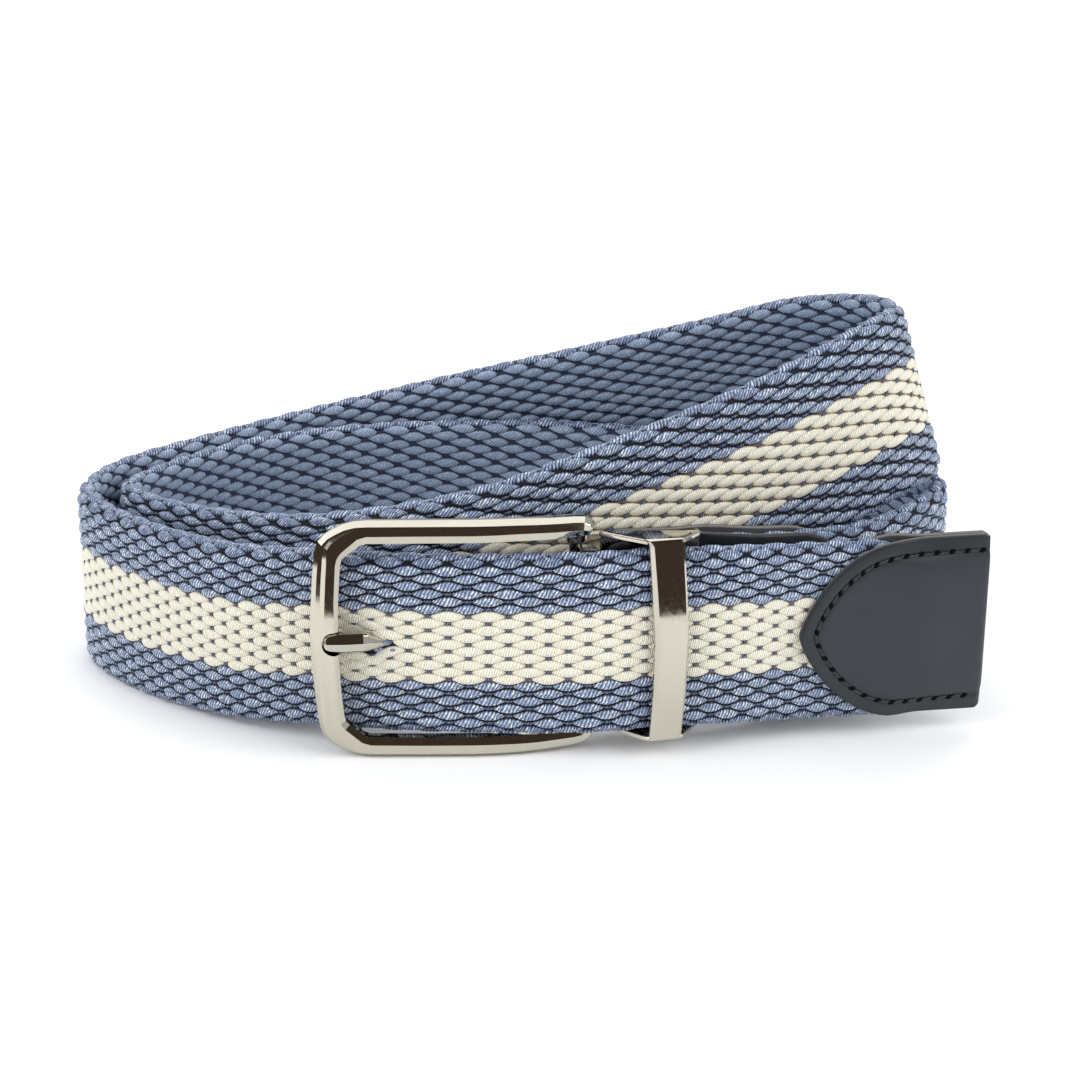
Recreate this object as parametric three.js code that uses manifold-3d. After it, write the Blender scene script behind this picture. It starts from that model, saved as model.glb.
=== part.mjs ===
// A reversible belt, fastened and coiled twice: a braided strap with leather ends, held by a metal
// buckle whose frame, prong, swivel bar and clamp with keeper loop are separate pieces.
// Millimetres, +Z up. X runs along the buckle, the floor is Z = 0, and Y leads away from the front.
import * as THREE from 'three';
import Module from 'manifold-3d';
import { mergeVertices } from 'three/addons/utils/BufferGeometryUtils.js';

const wasm = await Module();
wasm.setup();

// Driving dimensions
const strapWidth = 35;
const strapThickness = 4.6;
const pressedThickness = 3.0;
const edgeBevel = 1.3;
const leatherThickness = 1.1;
const leatherHeight = 35.2;
const clearance = 0.25;
const tipLength = 36.4;
const tipArch = 19.5;
const tipLift = 1;
const chapeLength = 56;
const chapeArch = 19.5;
const chapeLift = 1.7;
const frameMiddle = 23.2;
const stepAlong = 4;
const floor = 0;

// Middle of the whole belt's footprint, which becomes the origin
const footprintMiddle = { x: -3.5, y: 49.1 };

// The coil, from the free tip round to the end in the clamp. x, y and z place the strap's lower
// edge, and overX and overY say how far its upper edge stands off from upright.
const coil = [
  { x: 82.5, y: 14.5, z: 3.4, overX: 1.5, overY: 0 },
  { x: 60, y: 11.5, z: 3.9, overX: 0, overY: -0.5 },
  { x: 37, y: 7, z: 4.8, overX: 0, overY: -0.8 },
  { x: 22, y: 4.6, z: 5, overX: 0, overY: 0 },
  { x: 7, y: 2.3, z: 4.9, overX: 0, overY: 0 },
  { x: -20, y: 3.8, z: 4.5, overX: 0, overY: -1 },
  { x: -42, y: 9.4, z: 3.3, overX: 0, overY: -1 },
  { x: -60, y: 17, z: 1.6, overX: 0, overY: -0.5 },
  { x: -78.5, y: 31.5, z: 0.3, overX: 0, overY: 1.5 },
  { x: -88.6, y: 47, z: 0, overX: 0, overY: 1 },
  { x: -84.5, y: 63.5, z: 0, overX: 0, overY: 0 },
  { x: -67, y: 79, z: 0.4, overX: 0, overY: 0 },
  { x: -40, y: 91, z: 3, overX: -3, overY: 0 },
  { x: -10, y: 96, z: 9.5, overX: -6, overY: -3 },
  { x: 18, y: 95, z: 18, overX: -8, overY: -7 },
  { x: 42, y: 89, z: 27, overX: -9, overY: -9.5 },
  { x: 59, y: 80, z: 34, overX: -9.5, overY: -9 },
  { x: 72.5, y: 69, z: 36.2, overX: -9.5, overY: -5 },
  { x: 77.8, y: 56, z: 36.2, overX: -9.5, overY: 0 },
  { x: 70, y: 43, z: 36.2, overX: -9, overY: 0 },
  { x: 47, y: 31, z: 28.3, overX: -8, overY: 0 },
  { x: 15, y: 18.4, z: 19.2, overX: -7, overY: 0 },
  { x: -10, y: 14.4, z: 12.2, overX: -5, overY: 0 },
  { x: -40, y: 20.3, z: 5.5, overX: -3, overY: 0 },
  { x: -66, y: 36, z: 0.8, overX: -1, overY: 1 },
  { x: -80.5, y: 50, z: 0, overX: 0, overY: 0 },
  { x: -75, y: 62, z: 0, overX: 0, overY: 0 },
  { x: -58, y: 77, z: 0, overX: 0, overY: 0 },
  { x: -34, y: 85.5, z: 0, overX: 0, overY: 0 },
  { x: -5, y: 87.5, z: 0, overX: 0, overY: 0 },
  { x: 22, y: 84, z: 0, overX: 0, overY: 0 },
  { x: 45, y: 76.5, z: 0, overX: 0, overY: 0 },
  { x: 65, y: 68.5, z: 0, overX: 0, overY: 0 },
  { x: 77.5, y: 57.5, z: 0, overX: 0, overY: 0 },
  { x: 76, y: 45.5, z: 0.1, overX: 0, overY: 0 },
  { x: 62, y: 29, z: 0.6, overX: 0, overY: 0 },
  { x: 43, y: 16.9, z: 3, overX: 0, overY: 0 },
  { x: 31, y: 13.1, z: 4.4, overX: 0, overY: 0 },
  { x: 21, y: 11.4, z: 4.6, overX: 0, overY: 0 },
  { x: 11.8, y: 9.9, z: 4.6, overX: 0, overY: 0 },
];

// Frame of the strap's middle line at close steps, for placing points by their distance along it
function followCoil(rows) {
  const lower = rows.map((row) => new THREE.Vector3(row.x, row.y, row.z));
  const upper = rows.map((row) => {
    const rise = Math.sqrt(strapWidth ** 2 - row.overX ** 2 - row.overY ** 2);
    return new THREE.Vector3(row.x + row.overX, row.y + row.overY, row.z + rise);
  });
  const lowerEdge = new THREE.CatmullRomCurve3(lower, false, 'catmullrom', 0.5);
  const upperEdge = new THREE.CatmullRomCurve3(upper, false, 'catmullrom', 0.5);
  const steps = (rows.length - 1) * 16;
  const frames = [];
  for (let i = 0; i <= steps; i += 1) {
    const low = lowerEdge.getPoint(i / steps);
    low.setZ(Math.max(low.z, floor));
    const high = upperEdge.getPoint(i / steps);
    const middle = low.clone().add(high).multiplyScalar(0.5);
    frames.push({ middle, across: high.sub(low).normalize(), distance: 0 });
  }
  for (let i = 0; i <= steps; i += 1) {
    const before = frames[Math.max(i - 1, 0)].middle;
    const after = frames[Math.min(i + 1, steps)].middle;
    const along = after.clone().sub(before).normalize();
    frames[i].outward = frames[i].across.clone().cross(along).normalize();
    if (i > 0) {
      frames[i].distance = frames[i - 1].distance + frames[i].middle.distanceTo(frames[i - 1].middle);
    }
  }
  return frames;
}

const coilFrames = followCoil(coil);
const coilLength = coilFrames[coilFrames.length - 1].distance;

// A point given by distance along the strap, height from its middle and depth out of its face
function onCoil(distance, height, depth) {
  let i = 1;
  while (i < coilFrames.length - 1 && coilFrames[i].distance < distance) {
    i += 1;
  }
  const a = coilFrames[i - 1];
  const b = coilFrames[i];
  const share = THREE.MathUtils.clamp((distance - a.distance) / (b.distance - a.distance), 0, 1);
  const across = a.across.clone().lerp(b.across, share).normalize();
  const outward = a.outward.clone().lerp(b.outward, share).normalize();
  const point = a.middle.clone().lerp(b.middle, share);
  return point.addScaledVector(across, height).addScaledVector(outward, depth);
}

// A closed body through rings with the same number of points, with flat ends
function loft(rings) {
  const count = rings[0].length;
  const positions = rings.flat().flatMap((point) => [point.x, point.y, point.z]);
  const faces = [];
  for (let r = 0; r < rings.length - 1; r += 1) {
    for (let k = 0; k < count; k += 1) {
      const a = r * count + k;
      const b = r * count + ((k + 1) % count);
      faces.push([a, b, b + count], [a, b + count, a + count]);
    }
  }
  const last = (rings.length - 1) * count;
  for (let k = 1; k < count - 1; k += 1) {
    faces.push([0, k + 1, k], [last, last + k, last + k + 1]);
  }
  const geometry = new THREE.BufferGeometry();
  geometry.setAttribute('position', new THREE.Float32BufferAttribute(positions, 3));
  geometry.setIndex(faces.flat());
  return facingOut(geometry);
}

// Turns a closed body's faces round when they point inwards
function facingOut(geometry) {
  const place = geometry.attributes.position;
  const index = geometry.index.array;
  const corner = [0, 1, 2].map(() => new THREE.Vector3());
  let volume = 0;
  for (let i = 0; i < index.length; i += 3) {
    corner.forEach((point, k) => point.fromBufferAttribute(place, index[i + k]));
    volume += corner[0].dot(corner[1].cross(corner[2]));
  }
  if (volume < 0) {
    for (let i = 0; i < index.length; i += 3) {
      [index[i], index[i + 1]] = [index[i + 1], index[i]];
    }
  }
  return geometry;
}

function toSolid(geometry) {
  const bare = geometry.clone();
  bare.deleteAttribute('normal');
  bare.deleteAttribute('uv');
  const merged = mergeVertices(bare, 1e-4);
  return new wasm.Manifold(new wasm.Mesh({
    numProp: 3,
    vertProperties: Float32Array.from(merged.attributes.position.array),
    triVerts: Uint32Array.from(merged.index.array),
  }));
}

function toGeometry(solid) {
  const mesh = solid.getMesh();
  const geometry = new THREE.BufferGeometry();
  geometry.setAttribute('position', new THREE.BufferAttribute(Float32Array.from(mesh.vertProperties), 3));
  geometry.setIndex(new THREE.BufferAttribute(Uint32Array.from(mesh.triVerts), 1));
  return geometry;
}

function join(...geometries) {
  return toGeometry(geometries.map(toSolid).reduce((whole, piece) => whole.add(piece)));
}

function cut(geometry, ...cutters) {
  const rest = cutters.map(toSolid).reduce((whole, cutter) => whole.subtract(cutter), toSolid(geometry));
  return toGeometry(rest);
}

function block(from, to) {
  const size = to.clone().sub(from);
  const middle = from.clone().add(to).multiplyScalar(0.5);
  return new THREE.BoxGeometry(size.x, size.y, size.z).translate(middle.x, middle.y, middle.z);
}

// Upright round bar from one height to another
function upright(x, y, radius, bottom, top, sides = 20) {
  const bar = new THREE.CylinderGeometry(radius, radius, top - bottom, sides);
  return bar.rotateX(Math.PI / 2).translate(x, y, (top + bottom) / 2);
}

// Braided strap: full thickness, pressed thinner inside its leather ends
const foldRadius = pressedThickness / 2 + clearance - 0.05 + leatherThickness / 2;
const endInset = foldRadius + leatherThickness / 2;
const pressedLength = 8;

function thicknessAt(distance) {
  const fromTip = distance - tipLength - stepAlong;
  const fromChape = coilLength - chapeLength - stepAlong - distance;
  const freedom = THREE.MathUtils.smoothstep(Math.min(fromTip, fromChape), 0, pressedLength);
  return THREE.MathUtils.lerp(pressedThickness, strapThickness, freedom);
}

function strapRing(distance) {
  const side = strapWidth / 2;
  const face = thicknessAt(distance) / 2;
  const inner = face - Math.min(edgeBevel, face * 0.6);
  const corners = [
    [side, inner], [side - edgeBevel, face], [edgeBevel - side, face], [-side, inner],
    [-side, -inner], [edgeBevel - side, -face], [side - edgeBevel, -face], [side, -inner],
  ];
  return corners.map(([height, depth]) => onCoil(distance, height, depth));
}

function strapBody() {
  const start = endInset;
  const end = coilLength - endInset;
  const steps = Math.round((end - start) / stepAlong);
  const rings = [];
  for (let i = 0; i <= steps; i += 1) {
    rings.push(strapRing(start + ((end - start) * i) / steps));
  }
  return loft(rings);
}

// Leather end: one piece folded round the strap's end, both its panels ending in a soft point.
// lift is how far it sits above the strap's middle at its fold.
function leatherHalfHeight(fromFold, length, arch) {
  const intoArch = THREE.MathUtils.clamp((fromFold - (length - arch)) / arch, 0, 0.9995);
  return (leatherHeight / 2) * (1 - intoArch ** 2) ** 0.75;
}

function leatherEnd(length, arch, lift, toDistance) {
  const half = leatherThickness / 2;
  const straight = Math.round((length - arch) / stepAlong);
  const archSteps = 10;
  const legs = [];
  for (let i = 0; i <= archSteps; i += 1) {
    legs.push(length - arch + arch * Math.sin((Math.PI / 2) * (1 - i / archSteps)));
  }
  for (let i = 1; i <= straight; i += 1) {
    legs.push((length - arch) + (foldRadius + half - length + arch) * (i / straight));
  }
  const section = (fromFold, depth, inwards) => {
    const height = leatherHalfHeight(fromFold, length, arch);
    const raised = lift * (1 - fromFold / length);
    const corner = (side, offset) => onCoil(
      toDistance(fromFold + offset * inwards.along),
      raised + side * height,
      depth + offset * inwards.depth,
    );
    return [corner(1, half), corner(1, -half), corner(-1, -half), corner(-1, half)];
  };
  const rings = legs.map((leg) => section(leg, foldRadius, { along: 0, depth: 1 }));
  const turns = 8;
  for (let i = 1; i < turns; i += 1) {
    const angle = (Math.PI * i) / turns;
    const along = -Math.sin(angle);
    const depth = Math.cos(angle);
    rings.push(section(foldRadius + half + along * foldRadius, depth * foldRadius, { along, depth }));
  }
  legs.slice().reverse().forEach((leg) => {
    rings.push(section(leg, -foldRadius, { along: 0, depth: -1 }));
  });
  return loft(rings);
}

// Buckle frame: a bowed left bar and two arms that taper and curve back to the swivel bar. rise is
// the bar's height over the middle, turn its outward side in degrees, front its nearest face.
const swivel = { x: 6.5, y: 7, radius: 1.2 };
const cornerCentre = { x: -33, rise: 15.8, radius: 5.7 };
const frameRows = [
  { x: 8.6, rise: 20.9, turn: 0, width: 2, depth: 5.4, front: 4.1 },
  { x: 3, rise: 21.2, turn: 0, width: 2.7, depth: 6, front: 2.4 },
  { x: -4, rise: 21.4, turn: 0, width: 3.1, depth: 5.8, front: 1 },
  { x: -12, rise: 21.5, turn: 0, width: 3.4, depth: 5.4, front: 0.2 },
  { x: -32, rise: 21.5, turn: 0, width: 3.4, depth: 5.4, front: 0 },
  ...[22.5, 45, 67.5, 90].map((turn) => ({
    x: cornerCentre.x - cornerCentre.radius * Math.sin(THREE.MathUtils.degToRad(turn)),
    rise: cornerCentre.rise + cornerCentre.radius * Math.cos(THREE.MathUtils.degToRad(turn)),
    turn,
    width: 3.5,
    depth: 5.2 - turn / 100,
    front: -turn / 900,
  })),
  { x: -39, rise: 11, turn: 90, width: 4.1, depth: 4.3, front: -0.1 },
  { x: -39.5, rise: 5, turn: 90, width: 5.1, depth: 4.2, front: -0.2 },
  { x: -39.6, rise: 0, turn: 90, width: 5.4, depth: 4.2, front: -0.2 },
];

// Faceted section of the frame's bar: share of half its width, and share of its depth
const barOutline = [
  [0.35, 0], [1, 0.35], [1, 0.8], [0.6, 1], [-0.6, 1], [-1, 0.8], [-1, 0.4], [-0.25, 0],
];

function frameRing(row, side) {
  const turn = THREE.MathUtils.degToRad(row.turn);
  return barOutline.map(([out, deep]) => {
    const reach = (out * row.width) / 2;
    const x = row.x - reach * Math.sin(turn);
    const rise = row.rise + reach * Math.cos(turn);
    return new THREE.Vector3(x, row.front + deep * row.depth, frameMiddle + side * rise);
  });
}

const prongRest = { x: -37.9, y: 2.1, halfHeight: 2.4 };

function buckleFrame() {
  const upperHalf = frameRows.map((row) => frameRing(row, 1));
  const lowerHalf = frameRows.slice(0, -1).reverse().map((row) => frameRing(row, -1));
  const bar = loft([...upperHalf, ...lowerHalf]);
  const hole = upright(swivel.x, swivel.y, swivel.radius + clearance, -5, 55);
  const round = new THREE.CylinderGeometry(prongRest.halfHeight, prongRest.halfHeight, 10, 20);
  round.translate(prongRest.x, prongRest.y - 5, frameMiddle);
  const open = block(
    new THREE.Vector3(prongRest.x, prongRest.y - 10, frameMiddle - prongRest.halfHeight),
    new THREE.Vector3(prongRest.x + 10, prongRest.y, frameMiddle + prongRest.halfHeight),
  );
  return cut(bar, hole, round, open);
}

// Prong: from two rings on the swivel bar behind the strap, through the braid, to the frame's notch
const prongRows = [
  { x: 4, y: 6.9, height: 4, thickness: 2 },
  { x: 0, y: 6.4, height: 3.8, thickness: 2 },
  { x: -10, y: 6.8, height: 3.6, thickness: 2 },
  { x: -17, y: 7.6, height: 3.6, thickness: 2 },
  { x: -20, y: 7.3, height: 3.6, thickness: 2 },
  { x: -23, y: 6.1, height: 3.6, thickness: 2 },
  { x: -26, y: 4.4, height: 3.6, thickness: 2 },
  { x: -29, y: 2.9, height: 3.6, thickness: 2 },
  { x: -32, y: 1.7, height: 3.7, thickness: 2 },
  { x: -35, y: 0.8, height: 3.8, thickness: 1.9 },
  { x: -38, y: 0.6, height: 3.7, thickness: 1.8 },
  { x: -39.4, y: 0.6, height: 2.8, thickness: 1.7 },
  { x: -40, y: 0.7, height: 1.6, thickness: 1.4 },
];
const ringThickness = 0.75;
const ringPlaces = [{ bottom: -4.4, top: -2 }, { bottom: 2, top: 4.4 }];

function prongShank(margin) {
  return loft(prongRows.map((row) => {
    const half = row.height / 2 + margin;
    const face = row.thickness / 2 + margin;
    const outline = [[half, face * 0.2], [half * 0.35, -face], [-half * 0.35, -face],
      [-half, face * 0.2], [-half, face], [half, face]];
    return outline.map(([rise, deep]) => new THREE.Vector3(row.x, row.y + deep, frameMiddle + rise));
  }));
}

function prong() {
  const outer = swivel.radius + clearance + ringThickness;
  const yoke = block(
    new THREE.Vector3(swivel.x - outer - 1.2, swivel.y - 1, frameMiddle + ringPlaces[0].bottom),
    new THREE.Vector3(swivel.x - outer + 0.5, swivel.y + 1, frameMiddle + ringPlaces[1].top),
  );
  const rings = ringPlaces.map((place) => upright(
    swivel.x, swivel.y, outer, frameMiddle + place.bottom, frameMiddle + place.top,
  ));
  const bore = upright(swivel.x, swivel.y, swivel.radius + clearance, 5, 40);
  return cut(join(prongShank(0), yoke, ...rings), bore);
}

// Clamp: its own axes run along the strap (u), out of the strap's face (v) and up, from a middle
// that lies on the strap's middle line
const clampMiddle = { x: 22, y: 4.6, turn: THREE.MathUtils.degToRad(9) };
const clampBottom = 3.4;
const clampTop = 43.4;
const plate = 1.1;
const looseFit = 0.4;
const frontPlate = -(strapThickness / 2 + looseFit);
const chapeDepth = pressedThickness / 2 + clearance - 0.05 + leatherThickness;
const backPlate = frontPlate - plate - 2 * (looseFit + chapeDepth);
const clampStart = -11.9;
const clampEnd = 7.6;
const webEnd = -9.6;
const webBottom = 6;
const webTop = 39.5;
const loopFace = 4.2;

// Moves a body made in the clamp's own axes to its place
function inClamp(geometry) {
  return geometry.rotateZ(clampMiddle.turn).translate(clampMiddle.x, clampMiddle.y, 0);
}

function clampBox(u0, u1, v0, v1, z0, z1) {
  return block(new THREE.Vector3(u0, -v1, z0), new THREE.Vector3(u1, -v0, z1));
}

// Bridge of the keeper loop: wide at the clamp's plate, narrow at the front bar
const bridgeCorners = [
  [-10.7, frontPlate - plate], [clampEnd, frontPlate - plate], [3.9, loopFace - 0.3], [-2, loopFace - 0.3],
];

function bridge(bottom) {
  const shape = new THREE.Shape(bridgeCorners.map(([u, v]) => new THREE.Vector2(u, -v)));
  const slab = new THREE.ExtrudeGeometry(shape, { depth: plate, bevelEnabled: false });
  return slab.translate(0, 0, bottom);
}

// Front bar of the keeper loop, a little wider and fuller at mid-height
const loopRows = [
  { z: clampBottom, u: 1, width: 5.4, face: loopFace - 0.5 },
  { z: clampBottom + 1.2, u: 1, width: 5.9, face: loopFace },
  { z: 13, u: 1.7, width: 6.2, face: loopFace + 0.2 },
  { z: 23.4, u: 2.2, width: 6.4, face: loopFace + 0.3 },
  { z: 33, u: 1.7, width: 6.2, face: loopFace + 0.2 },
  { z: clampTop - 1.2, u: 0.9, width: 5.9, face: loopFace },
  { z: clampTop, u: 0.9, width: 5.4, face: loopFace - 0.5 },
];

function loopBar() {
  const back = strapThickness / 2 + looseFit;
  return loft(loopRows.map((row) => {
    const half = row.width / 2;
    const bevel = 0.7;
    const outline = [[-half, back], [half, back], [half, row.face - bevel], [half - bevel, row.face],
      [bevel - half, row.face], [-half, row.face - bevel]];
    return outline.map(([across, v]) => new THREE.Vector3(row.u + across, -v, row.z));
  }));
}

function toClampAxes(point) {
  const shifted = new THREE.Vector2(point.x - clampMiddle.x, point.y - clampMiddle.y);
  return shifted.rotateAround(new THREE.Vector2(0, 0), -clampMiddle.turn);
}

const stemRadius = 1.5;
const stemEnd = -10.5;
const stemRoot = toClampAxes(swivel);

// Stem that joins the swivel bar to the clamp, lying along the clamp's own axis
function stem(radius, to) {
  const rod = new THREE.CylinderGeometry(radius, radius, to - stemRoot.x, 20).rotateZ(Math.PI / 2);
  return rod.translate((to + stemRoot.x) / 2, stemRoot.y, frameMiddle);
}

function keeperClamp() {
  const body = join(
    clampBox(-10.7, clampEnd, frontPlate - plate, frontPlate, clampBottom, clampTop),
    clampBox(clampStart, webEnd, backPlate - plate, frontPlate - 0.2, webBottom, webTop),
    clampBox(clampStart, clampEnd - 1, backPlate - plate, backPlate, webBottom, webTop - 1),
    bridge(clampBottom),
    bridge(clampTop - plate),
    loopBar(),
  );
  return inClamp(cut(body, stem(stemRadius + clearance, stemEnd + clearance)));
}

function swivelBar() {
  const bar = upright(swivel.x, swivel.y, swivel.radius, 1.6, 44.8);
  return join(bar, inClamp(stem(stemRadius, stemEnd)));
}

const fromTip = (fromFold) => fromFold;
const fromChape = (fromFold) => coilLength - fromFold;

// Finishes
const braidFinish = { color: 0x7a8cab, roughness: 0.85, metalness: 0 };
const leatherFinish = { color: 0x363b44, roughness: 0.55, metalness: 0 };
const metalFinish = { color: 0xb9b4a6, roughness: 0.18, metalness: 1 };

const pieces = [
  ['strap', cut(strapBody(), prongShank(clearance + 0.2)), braidFinish],
  ['tip_leather', leatherEnd(tipLength, tipArch, tipLift, fromTip), leatherFinish],
  ['chape_leather', leatherEnd(chapeLength, chapeArch, chapeLift, fromChape), leatherFinish],
  ['buckle_frame', buckleFrame(), metalFinish],
  ['prong', prong(), metalFinish],
  ['swivel_bar', swivelBar(), metalFinish],
  ['keeper_clamp', keeperClamp(), metalFinish],
];

const belt = new THREE.Group();
belt.position.set(-footprintMiddle.x, -footprintMiddle.y, -floor);
pieces.forEach(([name, geometry, finish]) => {
  const piece = new THREE.Mesh(geometry, new THREE.MeshStandardMaterial(finish));
  piece.name = name;
  belt.add(piece);
});

export default belt;
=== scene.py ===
import math
from collections import namedtuple

import bmesh
import bpy
import numpy as np
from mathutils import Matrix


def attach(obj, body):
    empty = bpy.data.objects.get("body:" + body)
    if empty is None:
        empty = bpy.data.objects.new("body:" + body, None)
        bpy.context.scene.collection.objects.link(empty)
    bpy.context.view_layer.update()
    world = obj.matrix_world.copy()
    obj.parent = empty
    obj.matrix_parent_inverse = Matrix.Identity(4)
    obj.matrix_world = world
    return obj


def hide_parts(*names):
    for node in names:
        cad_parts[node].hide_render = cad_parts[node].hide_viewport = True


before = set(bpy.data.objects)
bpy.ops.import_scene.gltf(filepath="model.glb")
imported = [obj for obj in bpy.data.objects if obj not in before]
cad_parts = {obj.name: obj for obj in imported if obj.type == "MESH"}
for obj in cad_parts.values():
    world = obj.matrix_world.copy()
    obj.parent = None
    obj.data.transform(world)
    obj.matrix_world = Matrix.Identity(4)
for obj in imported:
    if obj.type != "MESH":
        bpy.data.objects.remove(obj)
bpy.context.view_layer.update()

mm = 0.001

# View: one camera, level from side to side, looks down on the front of the coil through a long
# lens. Colours are shown without a film curve, so that the pale floor stays clean.
camera_place = (3.5 * mm, -507.59 * mm, 228.96 * mm)
camera_tilt = math.radians(68)
camera_data = bpy.data.cameras.new("camera")
camera_data.lens = 92
camera_data.sensor_width = 36
camera_data.clip_start = 10 * mm
camera = bpy.data.objects.new("camera", camera_data)
camera.location = camera_place
camera.rotation_euler = (camera_tilt, 0, 0)
bpy.context.scene.collection.objects.link(camera)
bpy.context.scene.camera = camera
bpy.context.scene.view_settings.view_transform = "Standard"


# Floor: a wide pale sheet that the belt stands on edge on. It is matt, so that it only takes the
# soft shadow under the coil.
floor_half = 3.0
floor_colour = (0.95, 0.95, 0.95, 1)


def linear(red, green, blue):
    """Colour given as it looks on a screen, from 0 to 255, as the shader wants it."""
    def share(level):
        level = level / 255
        return level / 12.92 if level <= 0.04045 else ((level + 0.055) / 1.055) ** 2.4
    return (share(red), share(green), share(blue), 1)


def new_material(name, colour, roughness, metallic=0.0, specular=0.5):
    """A material with its node tree and its main shader."""
    material = bpy.data.materials.new(name)
    material.use_nodes = True
    shader = material.node_tree.nodes["Principled BSDF"]
    shader.inputs["Base Color"].default_value = colour
    shader.inputs["Roughness"].default_value = roughness
    shader.inputs["Metallic"].default_value = metallic
    shader.inputs["Specular IOR Level"].default_value = specular
    return material, material.node_tree, shader


def new_object(name, points, faces, material=None, edges=()):
    """A mesh object at the origin."""
    mesh = bpy.data.meshes.new(name)
    mesh.from_pydata([tuple(p) for p in points], edges, faces)
    mesh.update()
    if material:
        mesh.materials.append(material)
    piece = bpy.data.objects.new(name, mesh)
    bpy.context.scene.collection.objects.link(piece)
    return piece


floor_level = -0.05 * mm
floor_material, _, _ = new_material("floor", floor_colour, 0.9, specular=0.1)
floor_corners = [(-floor_half, -floor_half, floor_level), (floor_half, -floor_half, floor_level),
                 (floor_half, floor_half, floor_level), (-floor_half, floor_half, floor_level)]
floor = new_object("floor", floor_corners, [(0, 1, 2, 3)], floor_material)


# Light: a pale room with wide soft boxes behind and at both sides. The belt stands on a small lit
# table in it. The polished metal mirrors dark cards that lie round the table, and two flat screens
# over it, a dark one towards the front and a bright one behind.
Box = namedtuple("Box", "name x y z width height power")
light_boxes = [
    Box("light_back", 0.0, 1.5, 1.6, 2.6, 1.6, 26),
    Box("light_left", -1.3, -0.6, 0.9, 1.2, 1.2, 17),
    Box("light_right", 1.3, -0.6, 0.9, 1.2, 1.2, 17),
]
aim = (0, 0, 0.02)
room_colour = (0.92, 0.95, 1, 1)
room_strength = 0.6
for box in light_boxes:
    lamp = bpy.data.lights.new(box.name, "AREA")
    lamp.shape = "RECTANGLE"
    lamp.size = box.width
    lamp.size_y = box.height
    lamp.energy = box.power
    holder = bpy.data.objects.new(box.name, lamp)
    holder.location = (box.x, box.y, box.z)
    away = holder.location - type(holder.location)(aim)
    holder.rotation_euler = away.to_track_quat("Z", "Y").to_euler()
    bpy.context.scene.collection.objects.link(holder)

world = bpy.data.worlds.new("studio")
world.use_nodes = True
world.node_tree.nodes["Background"].inputs["Color"].default_value = room_colour
world.node_tree.nodes["Background"].inputs["Strength"].default_value = room_strength
bpy.context.scene.world = world

card_material, _, _ = new_material("dark_card", linear(62, 52, 46), 0.9, specular=0.0)
table_left, table_right, table_front, table_back = -0.16, 0.16, -0.118, 0.3
card_level = 0.2 * mm
card_reach = 1.6
xs = (-card_reach, table_left, table_right, card_reach)
ys = (-card_reach, table_front, table_back, card_reach)
card_points = [(x, y, card_level) for y in ys for x in xs]
card_faces = [(r * 4 + c, r * 4 + c + 1, r * 4 + c + 5, r * 4 + c + 4)
              for r in range(3) for c in range(3) if (r, c) != (1, 1)]


def reflected_only(card):
    """Hides a card from the camera, diffuse light, shadows and transmission, so that only the polished
    metal's reflections see it.
    """
    card.visible_camera = False
    card.visible_diffuse = False
    card.visible_shadow = False
    card.visible_transmission = False


screen_half = 0.7
screen_front, screen_split, screen_back = -0.85, -0.16, 0.6
screen_foot, dark_level, bright_level = 0.001, 0.55, 0.56
bright_colour = (0.9, 0.9, 0.9, 1)
bright_glow = 0.4


def screen(name, front, foot, back, head, material):
    """A flat rectangle as wide as the screens, from its front edge to its back edge."""
    points = [(-screen_half, front, foot), (screen_half, front, foot),
              (screen_half, back, head), (-screen_half, back, head)]
    reflected_only(new_object(name, points, [(0, 1, 2, 3)], material))


reflected_only(new_object("dark_cards", card_points, card_faces, card_material))
screen("dark_screen", screen_front, dark_level, screen_split, dark_level, card_material)
screen("front_screen", screen_front, screen_foot, screen_front, dark_level, card_material)
bright_material, _, bright_shader = new_material("bright_screen", bright_colour, 0.9, specular=0.0)
bright_shader.inputs["Emission Color"].default_value = (1, 1, 1, 1)
bright_shader.inputs["Emission Strength"].default_value = bright_glow
screen("bright_screen", screen_split, bright_level, screen_back, bright_level, bright_material)


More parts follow.
